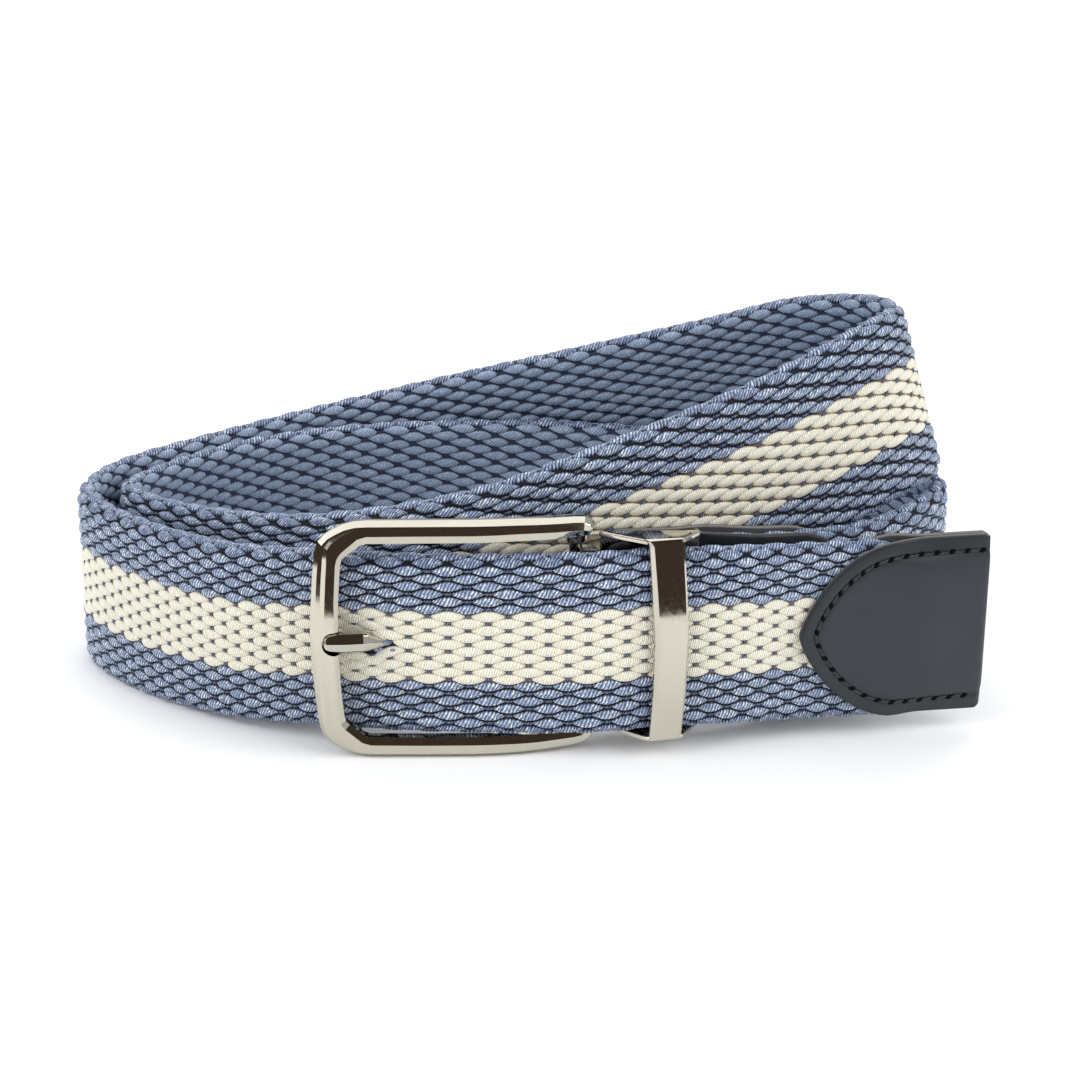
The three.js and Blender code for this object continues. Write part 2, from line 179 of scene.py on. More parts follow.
# Coil: the way the strap runs, from the free tip round to the end in the clamp. x, y and z place
# the strap's lower edge, and over_x and over_y say how far its upper edge stands off from upright.
Station = namedtuple("Station", "x y z over_x over_y")
coil = [
    Station(82.5, 14.5, 3.4, 1.5, 0), Station(60, 11.5, 3.9, 0, -0.5), Station(37, 7, 4.8, 0, -0.8),
    Station(22, 4.6, 5, 0, 0), Station(7, 2.3, 4.9, 0, 0), Station(-20, 3.8, 4.5, 0, -1),
    Station(-42, 9.4, 3.3, 0, -1), Station(-60, 17, 1.6, 0, -0.5), Station(-78.5, 31.5, 0.3, 0, 1.5),
    Station(-88.6, 47, 0, 0, 1), Station(-84.5, 63.5, 0, 0, 0), Station(-67, 79, 0.4, 0, 0),
    Station(-40, 91, 3, -3, 0), Station(-10, 96, 9.5, -6, -3), Station(18, 95, 18, -8, -7),
    Station(42, 89, 27, -9, -9.5), Station(59, 80, 34, -9.5, -9), Station(72.5, 69, 36.2, -9.5, -5),
    Station(77.8, 56, 36.2, -9.5, 0), Station(70, 43, 36.2, -9, 0), Station(47, 31, 28.3, -8, 0),
    Station(15, 18.4, 19.2, -7, 0), Station(-10, 14.4, 12.2, -5, 0), Station(-40, 20.3, 5.5, -3, 0),
    Station(-66, 36, 0.8, -1, 1), Station(-80.5, 50, 0, 0, 0), Station(-75, 62, 0, 0, 0),
    Station(-58, 77, 0, 0, 0), Station(-34, 85.5, 0, 0, 0), Station(-5, 87.5, 0, 0, 0),
    Station(22, 84, 0, 0, 0), Station(45, 76.5, 0, 0, 0), Station(65, 68.5, 0, 0, 0),
    Station(77.5, 57.5, 0, 0, 0), Station(76, 45.5, 0.1, 0, 0), Station(62, 29, 0.6, 0, 0),
    Station(43, 16.9, 3, 0, 0), Station(31, 13.1, 4.4, 0, 0), Station(21, 11.4, 4.6, 0, 0),
    Station(11.8, 9.9, 4.6, 0, 0),
]
footprint_middle = np.array((-3.5, 49.1, 0))
strap_width = 35
steps_between = 16


def smooth_line(points):
    """Points close together on a smooth line through the given ones."""
    ends = np.vstack([2 * points[0] - points[1], points, 2 * points[-1] - points[-2]])
    line = []
    for before, start, end, after in zip(ends, ends[1:], ends[2:], ends[3:]):
        for step in range(steps_between):
            t = step / steps_between
            line.append(0.5 * (2 * start + (end - before) * t
                               + (2 * before - 5 * start + 4 * end - after) * t ** 2
                               + (3 * start - before - 3 * end + after) * t ** 3))
    line.append(points[-1])
    return np.array(line)


def unit(rows):
    return rows / np.linalg.norm(rows, axis=1)[:, None]


lower = np.array([(row.x, row.y, row.z) for row in coil], float)
stand_off = np.array([(row.over_x, row.over_y) for row in coil], float)
rise = np.sqrt(strap_width ** 2 - (stand_off ** 2).sum(1))
low_edge = smooth_line(lower)
high_edge = smooth_line(lower + np.column_stack([stand_off, rise]))
low_edge[:, 2] = np.maximum(low_edge[:, 2], 0)
coil_middle = (low_edge + high_edge) / 2
coil_across = unit(high_edge - low_edge)
ahead = np.vstack([coil_middle[1:], coil_middle[-1:]])
behind = np.vstack([coil_middle[:1], coil_middle[:-1]])
coil_outward = unit(np.cross(coil_across, unit(ahead - behind)))
strides = np.linalg.norm(np.diff(coil_middle, axis=0), axis=1)
coil_distance = np.concatenate([[0], np.cumsum(strides)])
coil_length = coil_distance[-1]
tip_length = 36.4
chape_length = 56
pressed_thickness = 3.0
strap_thickness = 4.6
end_height = 0.9
taper_start, taper_end = 13, 22
fade_gap, fade = 2, 8


def ease(value, start, end):
    share = np.clip((value - start) / (end - start), 0, 1)
    return share * share * (3 - 2 * share)


def freedom(distance):
    """0 where the strap is pressed thin in a leather end, 1 where it is at its full thickness."""
    from_tip = distance - tip_length - fade_gap
    from_chape = coil_length - chape_length - distance
    return ease(np.minimum(from_tip, from_chape), 0, fade)


thinned = pressed_thickness / strap_thickness
from_end = np.minimum(coil_distance, coil_length - coil_distance)
press = np.column_stack([
    np.ones_like(coil_distance),
    end_height + (1 - end_height) * ease(from_end, taper_start, taper_end),
    thinned + (1 - thinned) * freedom(coil_distance),
])
coil_edges = [(i, i + 1) for i in range(len(coil_middle) - 1)]
coil_path = new_object("coil_path", (coil_middle - footprint_middle) * mm, [], edges=coil_edges)
for name, rows in (("across", coil_across), ("outward", coil_outward), ("press", press)):
    attribute = coil_path.data.attributes.new(name, "FLOAT_VECTOR", "POINT")
    attribute.data.foreach_set("vector", rows.astype(np.float32).ravel())


def add_node(tree, kind, inputs=None, **settings):
    """A node with its settings, and its inputs joined to sockets or set to values."""
    made = tree.nodes.new(kind)
    for name, value in settings.items():
        setattr(made, name, value)
    for key, value in (inputs or {}).items():
        if isinstance(value, bpy.types.NodeSocket):
            tree.links.new(value, made.inputs[key])
        else:
            made.inputs[key].default_value = value
    return made


def maths(tree, operation, *values):
    """Output of a chain-able math node."""
    return add_node(tree, "ShaderNodeMath", dict(enumerate(values)), operation=operation).outputs[0]


def vectors(tree, operation, *values, scale=None):
    """Output of a vector math node."""
    made = add_node(tree, "ShaderNodeVectorMath", dict(enumerate(values)), operation=operation)
    if scale is not None:
        tree.links.new(scale, made.inputs["Scale"])
    return made.outputs[0]


def new_tree(name, inputs):
    """A geometry node tree with named inputs after its geometry, and its two ends."""
    tree = bpy.data.node_groups.new(name, "GeometryNodeTree")
    tree.interface.new_socket("Geometry", in_out="INPUT", socket_type="NodeSocketGeometry")
    for socket, kind in inputs.items():
        tree.interface.new_socket(socket, in_out="INPUT", socket_type="NodeSocket" + kind)
    tree.interface.new_socket("Geometry", in_out="OUTPUT", socket_type="NodeSocketGeometry")
    return tree, tree.nodes.new("NodeGroupInput").outputs, tree.nodes.new("NodeGroupOutput").inputs


def lie_along_coil():
    """Node group: a point's x is its distance along the strap, y its height, z its depth."""
    tree, given, result = new_tree("lie along the coil", {"Coil": "Object"})
    route = add_node(tree, "GeometryNodeObjectInfo", {"Object": given["Coil"]}).outputs["Geometry"]
    curve = add_node(tree, "GeometryNodeMeshToCurve", {"Mesh": route}).outputs["Curve"]
    place = add_node(tree, "GeometryNodeInputPosition").outputs[0]
    parts = add_node(tree, "ShaderNodeSeparateXYZ", {0: place}).outputs
    sampled = {}
    for name in ("across", "outward", "press"):
        value = add_node(tree, "GeometryNodeInputNamedAttribute", {"Name": name},
                         data_type="FLOAT_VECTOR").outputs["Attribute"]
        sample = add_node(tree, "GeometryNodeSampleCurve", {"Curves": curve, "Value": value,
                          "Length": parts["X"]}, mode="LENGTH", data_type="FLOAT_VECTOR")
        sampled[name] = sample.outputs["Value"]
        middle = sample.outputs["Position"]
    pressed = add_node(tree, "ShaderNodeSeparateXYZ", {0: sampled["press"]}).outputs
    height = maths(tree, "MULTIPLY", parts["Y"], pressed["Y"])
    depth = maths(tree, "MULTIPLY", parts["Z"], pressed["Z"])
    up = vectors(tree, "SCALE", vectors(tree, "NORMALIZE", sampled["across"]), scale=height)
    out = vectors(tree, "SCALE", vectors(tree, "NORMALIZE", sampled["outward"]), scale=depth)
    target = vectors(tree, "ADD", vectors(tree, "ADD", middle, up), out)
    moved = add_node(tree, "GeometryNodeSetPosition",
                     {"Geometry": given["Geometry"], "Position": target})
    turned = add_node(tree, "GeometryNodeFlipFaces", {"Mesh": moved.outputs[0]})
    tree.links.new(turned.outputs[0], result[0])
    return tree


along_coil = lie_along_coil()


def use_group(tree, group, inputs):
    """First output of a node group inside another tree."""
    return add_node(tree, "GeometryNodeGroup", inputs, node_tree=group).outputs[0]


def keep_result(piece, modifier):
    """Makes a modifier's result the piece's plain mesh and drops the modifier."""
    graph = bpy.context.evaluated_depsgraph_get()
    graph.update()
    mesh = bpy.data.meshes.new_from_object(piece.evaluated_get(graph), preserve_all_data_layers=True,
                                           depsgraph=graph)
    piece.modifiers.remove(modifier)
    old = piece.data
    piece.data = mesh
    mesh.name = piece.name
    bpy.data.meshes.remove(old)
    return piece


def run_tree(piece, tree, values):
    """Shapes the piece by a tree with the given values for its inputs."""
    modifier = piece.modifiers.new("shape", "NODES")
    modifier.node_group = tree
    sockets = {item.name: item.identifier for item in tree.interface.items_tree
               if item.in_out == "INPUT"}
    for name, value in values.items():
        modifier[sockets[name]] = value
    return keep_result(piece, modifier)


# Strap core: the rubber cords and binding yarns deep in the braid, one closed tube through the whole
# strap.
# Its colours are painted shade for the gaps between the floats: near black between the blue ones, tan
# between the ivory ones.
core_radius = 1.78
stripe_spacing = 1.40
side_spacing = 1.50
stripe_rows = 5
edge_row = 12.5
edge_girth = stripe_rows * stripe_spacing + (edge_row - stripe_rows) * side_spacing
flat_half = edge_girth - core_radius * math.pi / 2
prong_place = 118.5
part_half = 1.85
part_fade = 3.2
open_from, open_to = -9.5, -2.5
close_from, close_to = 8.5, 3.5


def round_strap():
    """Node group: a point's y runs round the strap's section from its outer middle, z is its rise."""
    tree, given, result = new_tree("round the strap", {"Flat half": "Float", "Radius": "Float"})
    place = add_node(tree, "GeometryNodeInputPosition").outputs[0]
    parts = add_node(tree, "ShaderNodeSeparateXYZ", {0: place}).outputs
    girth = maths(tree, "ABSOLUTE", parts["Y"])
    side = maths(tree, "SIGN", parts["Y"])
    beyond = maths(tree, "SUBTRACT", girth, given["Flat half"])
    half_turn = maths(tree, "MULTIPLY", given["Radius"], math.pi)
    on_arc = maths(tree, "MINIMUM", maths(tree, "MAXIMUM", beyond, 0.0), half_turn)
    angle = maths(tree, "DIVIDE", on_arc, given["Radius"])
    rest = maths(tree, "MAXIMUM", maths(tree, "SUBTRACT", beyond, half_turn), 0.0)
    flat = maths(tree, "SUBTRACT", maths(tree, "MINIMUM", girth, given["Flat half"]), rest)
    reach = maths(tree, "ADD", given["Radius"], parts["Z"])
    height = maths(tree, "ADD", flat, maths(tree, "MULTIPLY", reach, maths(tree, "SINE", angle)))
    depth = maths(tree, "MULTIPLY", reach, maths(tree, "COSINE", angle))
    signed = maths(tree, "MULTIPLY", height, side)
    target = add_node(tree, "ShaderNodeCombineXYZ", {0: parts["X"], 1: signed, 2: depth}).outputs[0]
    moved = add_node(tree, "GeometryNodeSetPosition",
                     {"Geometry": given["Geometry"], "Position": target})
    tree.links.new(moved.outputs[0], result[0])
    return tree


strap_section = round_strap()


def part_at_prong():
    """Node group: spreads the outer face's yarns up and down round the prong."""
    tree, given, result = new_tree("part round the prong", {"Place": "Float", "Half gap": "Float"})
    place = add_node(tree, "GeometryNodeInputPosition").outputs[0]
    parts = add_node(tree, "ShaderNodeSeparateXYZ", {0: place}).outputs
    toward = maths(tree, "SUBTRACT", parts["X"], given["Place"])

    def ramp(start, end):
        return add_node(tree, "ShaderNodeMapRange", {
            "Value": toward, "From Min": start * mm, "From Max": end * mm, "To Min": 0.0, "To Max": 1.0},
            interpolation_type="SMOOTHSTEP").outputs[0]

    opened = maths(tree, "MULTIPLY", ramp(open_from, open_to), ramp(close_from, close_to))
    centre = add_node(tree, "GeometryNodeInputNamedAttribute", {"Name": "centre"},
                      data_type="FLOAT_VECTOR").outputs[0]
    off = add_node(tree, "ShaderNodeSeparateXYZ", {0: centre}).outputs["Y"]
    fading = maths(tree, "DIVIDE", maths(tree, "ABSOLUTE", off), -part_fade * mm)
    share = maths(tree, "MULTIPLY", maths(tree, "EXPONENT", fading), given["Half gap"])
    shove = maths(tree, "MULTIPLY", maths(tree, "MULTIPLY", opened, share), maths(tree, "SIGN", off))
    height = maths(tree, "ADD", parts["Y"], shove)
    target = add_node(tree, "ShaderNodeCombineXYZ",
                      {0: parts["X"], 1: height, 2: parts["Z"]}).outputs[0]
    moved = add_node(tree, "GeometryNodeSetPosition",
                     {"Geometry": given["Geometry"], "Position": target})
    tree.links.new(moved.outputs[0], result[0])
    return tree


parting = part_at_prong()

# Painted shade: the core's colours stand in for the shade deep in the gaps between the floats.
side_gap_shade, stripe_gap_shade, inner_gap_shade = linear(6, 8, 20), linear(112, 86, 52), linear(36, 43, 66)
stripe_margin = 0.2
stripe_half = stripe_rows * stripe_spacing - stripe_margin
core_material, core_tree, core_shader = new_material("braid_core", side_gap_shade, 0.8)
girth_seen = add_node(core_tree, "ShaderNodeAttribute", attribute_name="girth").outputs["Fac"]
in_stripe = maths(core_tree, "LESS_THAN", girth_seen, stripe_half)
inside = maths(core_tree, "GREATER_THAN", girth_seen, edge_girth)


def blend(tree, share, first, second):
    """Colour between two others, the second where the share is 1."""
    return add_node(tree, "ShaderNodeMix", {0: share, 6: first, 7: second}, data_type="RGBA").outputs[2]


outer_gap_shade = blend(core_tree, in_stripe, side_gap_shade, stripe_gap_shade)
core_tree.links.new(blend(core_tree, inside, outer_gap_shade, inner_gap_shade), core_shader.inputs["Base Color"])

bared_reach = 9.0
bared_half = 3.6
core_start = 7.0
core_step = 2.5
core_lift = 0.1
opening_shade_girth = edge_girth - 1
core_rows = 44
core_count = int((coil_length - 2 * core_start) / core_step)
core_places = np.linspace(core_start, coil_length - core_start, core_count + 1)
girth_half = 2 * edge_girth
core_girths = np.linspace(-girth_half, girth_half, core_rows, endpoint=False)
core_points = [(s * mm, g * mm, core_lift * mm) for s in core_places for g in core_girths]
core_faces = []
for ring in range(core_count):
    for k in range(core_rows):
        a = ring * core_rows + k
        b = ring * core_rows + (k + 1) % core_rows
        core_faces.append((a, a + core_rows, b + core_rows, b))
core_faces.append(tuple(range(core_rows)))
core_faces.append(tuple(core_count * core_rows + k for k in reversed(range(core_rows))))
core = new_object("strap_core", core_points, core_faces, core_material)
core_attribute = core.data.attributes.new("girth", "FLOAT", "POINT")
girth_rows = np.tile(np.abs(core_girths), (core_count + 1, 1))
# Painted shade: under the parted braid round the prong, the core takes the near-black gap colour instead
# of the tan.
bared = (np.abs(core_places - prong_place)[:, None] < bared_reach) & (girth_rows < bared_half)
girth_rows[bared] = opening_shade_girth
core_attribute.data.foreach_set("value", girth_rows.ravel().astype(np.float32))

core_shape, given, result = new_tree("strap core", {"Coil": "Object", "Flat half": "Float",
                                                    "Radius": "Float"})
wrapped = use_group(core_shape, strap_section, {"Geometry": given["Geometry"],
                    "Flat half": given["Flat half"], "Radius": given["Radius"]})
bent = use_group(core_shape, along_coil, {"Geometry": wrapped, "Coil": given["Coil"]})
core_shape.links.new(bent, result[0])
section_values = {"Coil": coil_path, "Flat half": flat_half * mm, "Radius": core_radius * mm}
run_tree(core, core_shape, section_values)
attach(core, "root")
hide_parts("strap")


# Braid floats: short almond-shaped lengths of ribbed yarn that lie over the core in staggered rows,
# blue at both edges and ivory between on the outer face, all blue on the inner face. Round each
# edge of the strap one more row makes its rope-like selvage.
Pitch = namedtuple("Pitch", "place pitch")
pitch_along = [
    Pitch(0, 5.9), Pitch(50, 5.9), Pitch(62, 6.4), Pitch(75, 7.0), Pitch(88, 7.25), Pitch(100, 7.25),
    Pitch(110, 6.9), Pitch(122, 6.1), Pitch(135, 5.65), Pitch(165, 5.6), Pitch(200, 6.0),
    Pitch(230, 6.6), Pitch(260, 7.05), Pitch(380, 7.1), Pitch(430, 7.2), Pitch(530, 7.2),
    Pitch(560, 6.6), Pitch(590, 6.0), Pitch(620, 6.8), Pitch(660, 7.05), Pitch(850, 6.9),
]
Set = namedtuple("Set", "place swell lean skew slim")
set_along = [
    Set(0, 0.15, 0, 0, 0), Set(55, 0.15, 0, 0, 0), Set(70, 0, 0, 0, 0), Set(104, 0, 0, 0, 0),
    Set(122, 0.6, 0.01, 0, 0), Set(140, 1.0, 0.02, 0, 0), Set(250, 1.0, 0.02, 0, 0.02),
    Set(320, 0.7, 0.12, -0.5, 0.11), Set(540, 0.6, 0.12, -0.5, 0.11), Set(600, 0.8, 0, 0, 0),
    Set(850, 0.8, 0, 0, 0),
]
inner_lean, inner_skew = 0.12, -0.5
first_float = 18
marked_float = 90.0


def at(table, column, place):
    return np.interp(place, [row.place for row in table], [getattr(row, column) for row in table])


def half_pitch_places(start, end, marked):
    """Places along the strap half a pitch apart, with one at the marked place, and their parity."""
    places = [marked]
    while places[-1] < end:
        places.append(places[-1] + at(pitch_along, "pitch", places[-1]) / 2)
    while places[0] > start:
        places.insert(0, places[0] - at(pitch_along, "pitch", places[0]) / 2)
    first = places.index(marked)
    return [(place, (i + first) % 2) for i, place in enumerate(places) if start <= place <= end]


float_arc = (-1, -0.62, 0, 0.62, 1)
even_share = 0.65
side_power = 1.9
crest_fullness, crest_power = 2.4, 0.75
back_fullness, back_power = 2.2, 0.5
float_sink = 0.05


def yarn_float(name, rings, fullness):
    """One float of unit half length, half height and rise, closed at its tips and underneath."""
    points = [(-1, 0, 0)]
    shares = [(-1, 0)]
    for i in range(1, rings):
        t = even_share * (2 * i / rings - 1) - (1 - even_share) * math.cos(math.pi * i / rings)
        wide = (1 - abs(t) ** fullness) ** (side_power / fullness)
        crest = (1 - abs(t) ** crest_fullness) ** crest_power
        for q in float_arc:
            arch = (1 - abs(q) ** back_fullness) ** back_power
            points.append((t, q * wide, crest * arch - float_sink))
            shares.append((t, q))
    points.append((1, 0, 0))
    shares.append((1, 0))
    ring = len(float_arc)
    last = 1 + (rings - 2) * ring
    faces = []
    for k in range(ring):
        following = (k + 1) % ring
        faces.append((0, 1 + k, 1 + following))
        faces.append((last + k, len(points) - 1, last + following))
        for i in range(rings - 2):
            a = 1 + i * ring + k
            b = 1 + i * ring + following
            faces.append((a, a + ring, b + ring, b))
    piece = new_object(name, points, faces)
    layer = piece.data.uv_layers.new(name="UVMap")
    for loop in piece.data.loops:
        layer.data[loop.index].uv = shares[loop.vertex_index]
    piece.data.shade_smooth()
    return piece


middle_row = 11.5
spare_copies = 1.6
swell_share = 0.4
tone_seed = 7


def braid_shape():
    """Tree: floats on every column's rows of one band, wrapped round the strap and laid along it."""
    tree, given, result = new_tree("braid", {
        "Float": "Object", "Coil": "Object", "Flat half": "Float", "Radius": "Float",
        "First row": "Int", "Last row": "Int", "Shift": "Int", "Stripe rows": "Float",
        "Stripe spacing": "Float", "Side spacing": "Float", "Edge row": "Float", "Half height": "Float",
        "Rise": "Float", "Place": "Float", "Half gap": "Float", "Material": "Material"})

    def attribute(name, kind):
        return add_node(tree, "GeometryNodeInputNamedAttribute", {"Name": name},
                        data_type=kind).outputs[0]

    def keep(geometry, name, value, kind):
        return add_node(tree, "GeometryNodeStoreNamedAttribute", {"Geometry": geometry, "Name": name,
                        "Value": value}, data_type=kind, domain="POINT").outputs[0]

    half, swell, lean, skew, slim, centre = (attribute(*item) for item in (
        ("half_length", "FLOAT"), ("swell", "FLOAT"), ("lean", "FLOAT"), ("skew", "FLOAT"),
        ("slim", "FLOAT"), ("centre", "FLOAT_VECTOR")))
    rows_apart = maths(tree, "SUBTRACT", given["Last row"], given["First row"])
    amount = maths(tree, "MULTIPLY_ADD", rows_apart, 0.5, spare_copies)
    copies = add_node(tree, "GeometryNodeDuplicateElements", {"Geometry": given["Geometry"],
                      "Amount": amount}, domain="POINT").outputs
    parity = maths(tree, "ADD", attribute("parity", "INT"), given["Shift"])
    odd = maths(tree, "FLOORED_MODULO", maths(tree, "ADD", parity, given["First row"]), 2.0)
    row = maths(tree, "ADD", maths(tree, "ADD", given["First row"], odd),
                maths(tree, "MULTIPLY", copies["Duplicate Index"], 2.0))
    marked = keep(copies["Geometry"], "row", row, "FLOAT")
    row_kept = attribute("row", "FLOAT")
    over = maths(tree, "GREATER_THAN", row_kept, maths(tree, "ADD", given["Last row"], 0.5))
    kept = add_node(tree, "GeometryNodeDeleteGeometry", {"Geometry": marked, "Selection": over},
                    domain="POINT")

    above = maths(tree, "SUBTRACT", middle_row, row_kept)
    count = maths(tree, "ABSOLUTE", above)
    edge = given["Edge row"]
    around = maths(tree, "SUBTRACT", maths(tree, "MULTIPLY", edge, 2.0), count)
    folded = maths(tree, "MINIMUM", count, around)

    def girth_of(rows):
        stripe = maths(tree, "MULTIPLY", maths(tree, "MINIMUM", rows, given["Stripe rows"]),
                       given["Stripe spacing"])
        side = maths(tree, "MAXIMUM", maths(tree, "SUBTRACT", rows, given["Stripe rows"]), 0.0)
        return maths(tree, "ADD", stripe, maths(tree, "MULTIPLY", side, given["Side spacing"]))

    near = girth_of(folded)
    far = maths(tree, "SUBTRACT", maths(tree, "MULTIPLY", girth_of(edge), 2.0), near)
    inner_side = maths(tree, "GREATER_THAN", count, edge)
    girth = add_node(tree, "ShaderNodeMix", {0: inner_side, 2: near, 3: far},
                     data_type="FLOAT").outputs[0]
    signed = maths(tree, "MULTIPLY", girth, maths(tree, "SIGN", above))
    place = add_node(tree, "GeometryNodeInputPosition").outputs[0]
    along = add_node(tree, "ShaderNodeSeparateXYZ", {0: place}).outputs["X"]
    on_row = add_node(tree, "ShaderNodeCombineXYZ", {0: along, 1: signed}).outputs[0]
    placed = add_node(tree, "GeometryNodeSetPosition",
                      {"Geometry": kept.outputs[0], "Position": on_row}).outputs[0]
    tone = add_node(tree, "FunctionNodeRandomValue", {"Min": 0.0, "Max": 1.0, "Seed": tone_seed},
                    data_type="FLOAT").outputs[1]
    toned = keep(keep(placed, "centre", place, "FLOAT_VECTOR"), "tone", tone, "FLOAT")
    shape = add_node(tree, "GeometryNodeObjectInfo", {"Object": given["Float"]}).outputs["Geometry"]
    size = add_node(tree, "ShaderNodeCombineXYZ",
                    {0: half, 1: given["Half height"], 2: given["Rise"]}).outputs[0]
    spread = add_node(tree, "GeometryNodeInstanceOnPoints",
                      {"Points": toned, "Instance": shape, "Scale": size}).outputs[0]
    real = add_node(tree, "GeometryNodeRealizeInstances", {"Geometry": spread}).outputs[0]
    from_centre = vectors(tree, "SUBTRACT", place, centre)
    local = add_node(tree, "ShaderNodeSeparateXYZ", {0: from_centre}).outputs
    forward = maths(tree, "MULTIPLY", maths(tree, "DIVIDE", local["X"], half), swell)
    fuller = maths(tree, "MULTIPLY", forward, swell_share)
    shift = add_node(tree, "ShaderNodeCombineXYZ", {
        0: maths(tree, "MULTIPLY", local["Y"], skew),
        1: maths(tree, "MULTIPLY_ADD", local["Y"], maths(tree, "SUBTRACT", fuller, slim),
                 maths(tree, "MULTIPLY", local["X"], lean)),
        2: maths(tree, "MULTIPLY", local["Z"], fuller)}).outputs[0]
    swollen = add_node(tree, "GeometryNodeSetPosition", {"Geometry": real, "Offset": shift}).outputs[0]
    parted = use_group(tree, parting, {"Geometry": swollen, "Place": given["Place"],
                       "Half gap": given["Half gap"]})
    wrapped = use_group(tree, strap_section, {"Geometry": parted, "Flat half": given["Flat half"],
                        "Radius": given["Radius"]})
    bent = use_group(tree, along_coil, {"Geometry": wrapped, "Coil": given["Coil"]})
    covered = add_node(tree, "GeometryNodeSetMaterial",
                       {"Geometry": bent, "Material": given["Material"]})
    tree.links.new(covered.outputs[0], result[0])
    return tree


fibre_scale = (4.5, 1.3, 1.0)
fibre_wobble = 1.3
tone_reach = 37.0
glint_from, glint_to = 0.46, 0.6
side_from, side_to = 0.7, 0.98
tip_from, tip_to = 0.82, 1.0
yarn_gloss, rim_gloss = 0.5, 0.08
fibre_relief = 0.6
rib_depth = 0.14
yarn_sheen = 0.03


def yarn_material(name, groove_shade, body, painted_glint, rim, roughness, ribs, lean):
    """Ribbed yarn: ribs cross each float by its own map, with painted highlights in streaks on their
    crests, and painted shade in their grooves and at the float's rim.
    """
    material, tree, shader = new_material(name, body, roughness)
    uv = add_node(tree, "ShaderNodeUVMap", uv_map="UVMap").outputs[0]
    parts = add_node(tree, "ShaderNodeSeparateXYZ", {0: uv}).outputs
    tone = add_node(tree, "ShaderNodeAttribute", attribute_name="tone").outputs["Fac"]
    offset = add_node(tree, "ShaderNodeCombineXYZ",
                      {2: maths(tree, "MULTIPLY", tone, tone_reach)}).outputs[0]
    noise = add_node(tree, "ShaderNodeTexNoise", {
        "Vector": vectors(tree, "ADD", vectors(tree, "MULTIPLY", uv, fibre_scale), offset),
        "Scale": 1.0, "Detail": 3.0, "Roughness": 0.6}).outputs[0]
    wobble = maths(tree, "MULTIPLY", maths(tree, "SUBTRACT", noise, 0.5), fibre_wobble)
    slant = maths(tree, "MULTIPLY_ADD", parts["Y"], lean, wobble)
    phase = maths(tree, "MULTIPLY_ADD", parts["X"], ribs, slant)
    wave = maths(tree, "SINE", maths(tree, "MULTIPLY", phase, 2 * math.pi))
    rib = maths(tree, "MULTIPLY_ADD", wave, 0.5, 0.5)

    def within(value, start, end):
        return add_node(tree, "ShaderNodeMapRange",
                        {"Value": value, "From Min": start, "From Max": end}).outputs[0]

    # Painted highlight: the rib crests take the glint colour where the noise allows, standing in for the
    # lamps' glints on shiny yarn. The grooves between the ribs take a darker colour, which is painted
    # shade.
    glint_mask = maths(tree, "MULTIPLY", maths(tree, "POWER", rib, 2.0),
                     within(noise, glint_from, glint_to))
    painted_ribs = blend(tree, glint_mask, blend(tree, rib, groove_shade, body), painted_glint)
    # Painted shade: the colour darkens to the rim colour at the float's sides and tips, where it dives
    # under its neighbours, and the gloss drops there too.
    side = within(maths(tree, "ABSOLUTE", parts["Y"]), side_from, side_to)
    tip = within(maths(tree, "ABSOLUTE", parts["X"]), tip_from, tip_to)
    at_rim = maths(tree, "MAXIMUM", side, tip)
    tree.links.new(blend(tree, at_rim, painted_ribs, rim), shader.inputs["Base Color"])
    gloss = maths(tree, "MULTIPLY_ADD", at_rim, rim_gloss - yarn_gloss, yarn_gloss)
    tree.links.new(gloss, shader.inputs["Specular IOR Level"])
    relief = maths(tree, "MULTIPLY_ADD", noise, fibre_relief, rib)
    bump = add_node(tree, "ShaderNodeBump",
                    {"Height": relief, "Strength": 0.9, "Distance": rib_depth * mm})
    tree.links.new(bump.outputs[0], shader.inputs["Normal"])
    shader.inputs["Sheen Weight"].default_value = yarn_sheen
    return material


# Each yarn's colours in turn: painted shade for the rib grooves, the yarn's own body colour, painted
# highlight for the streaks, and painted shade for the float's rim. For the ivory yarn this rim shade is
# tan.
blue_yarn = yarn_material(
    "blue_yarn", linear(64, 80, 112), linear(156, 174, 202), linear(252, 254, 255), linear(7, 10, 24),
    0.4, 4.4, 0.7)
# The selvage yarn is a darker copy of the blue yarn with dimmer streaks: painted shade on the strap's
# rope edges.
selvage_yarn = yarn_material(
    "selvage_yarn", linear(40, 52, 82), linear(130, 148, 178), linear(222, 232, 248), linear(10, 14, 32),
    0.4, 5.2, 1.0)
ivory_yarn = yarn_material(
    "ivory_yarn", linear(212, 204, 178), linear(253, 250, 235), linear(255, 254, 246),
    linear(168, 142, 98), 0.6, 7.0, 0.7)
inner_yarn = yarn_material(
    "inner_yarn", linear(110, 126, 149), linear(147, 163, 187), linear(182, 196, 216),
    linear(38, 46, 70), 0.55, 5.0, 0.7)
knot_yarn = yarn_material(
    "knot_yarn", linear(30, 38, 66), linear(96, 114, 150), linear(150, 166, 196), linear(24, 30, 56),
    0.5, 1.5, 0.3)

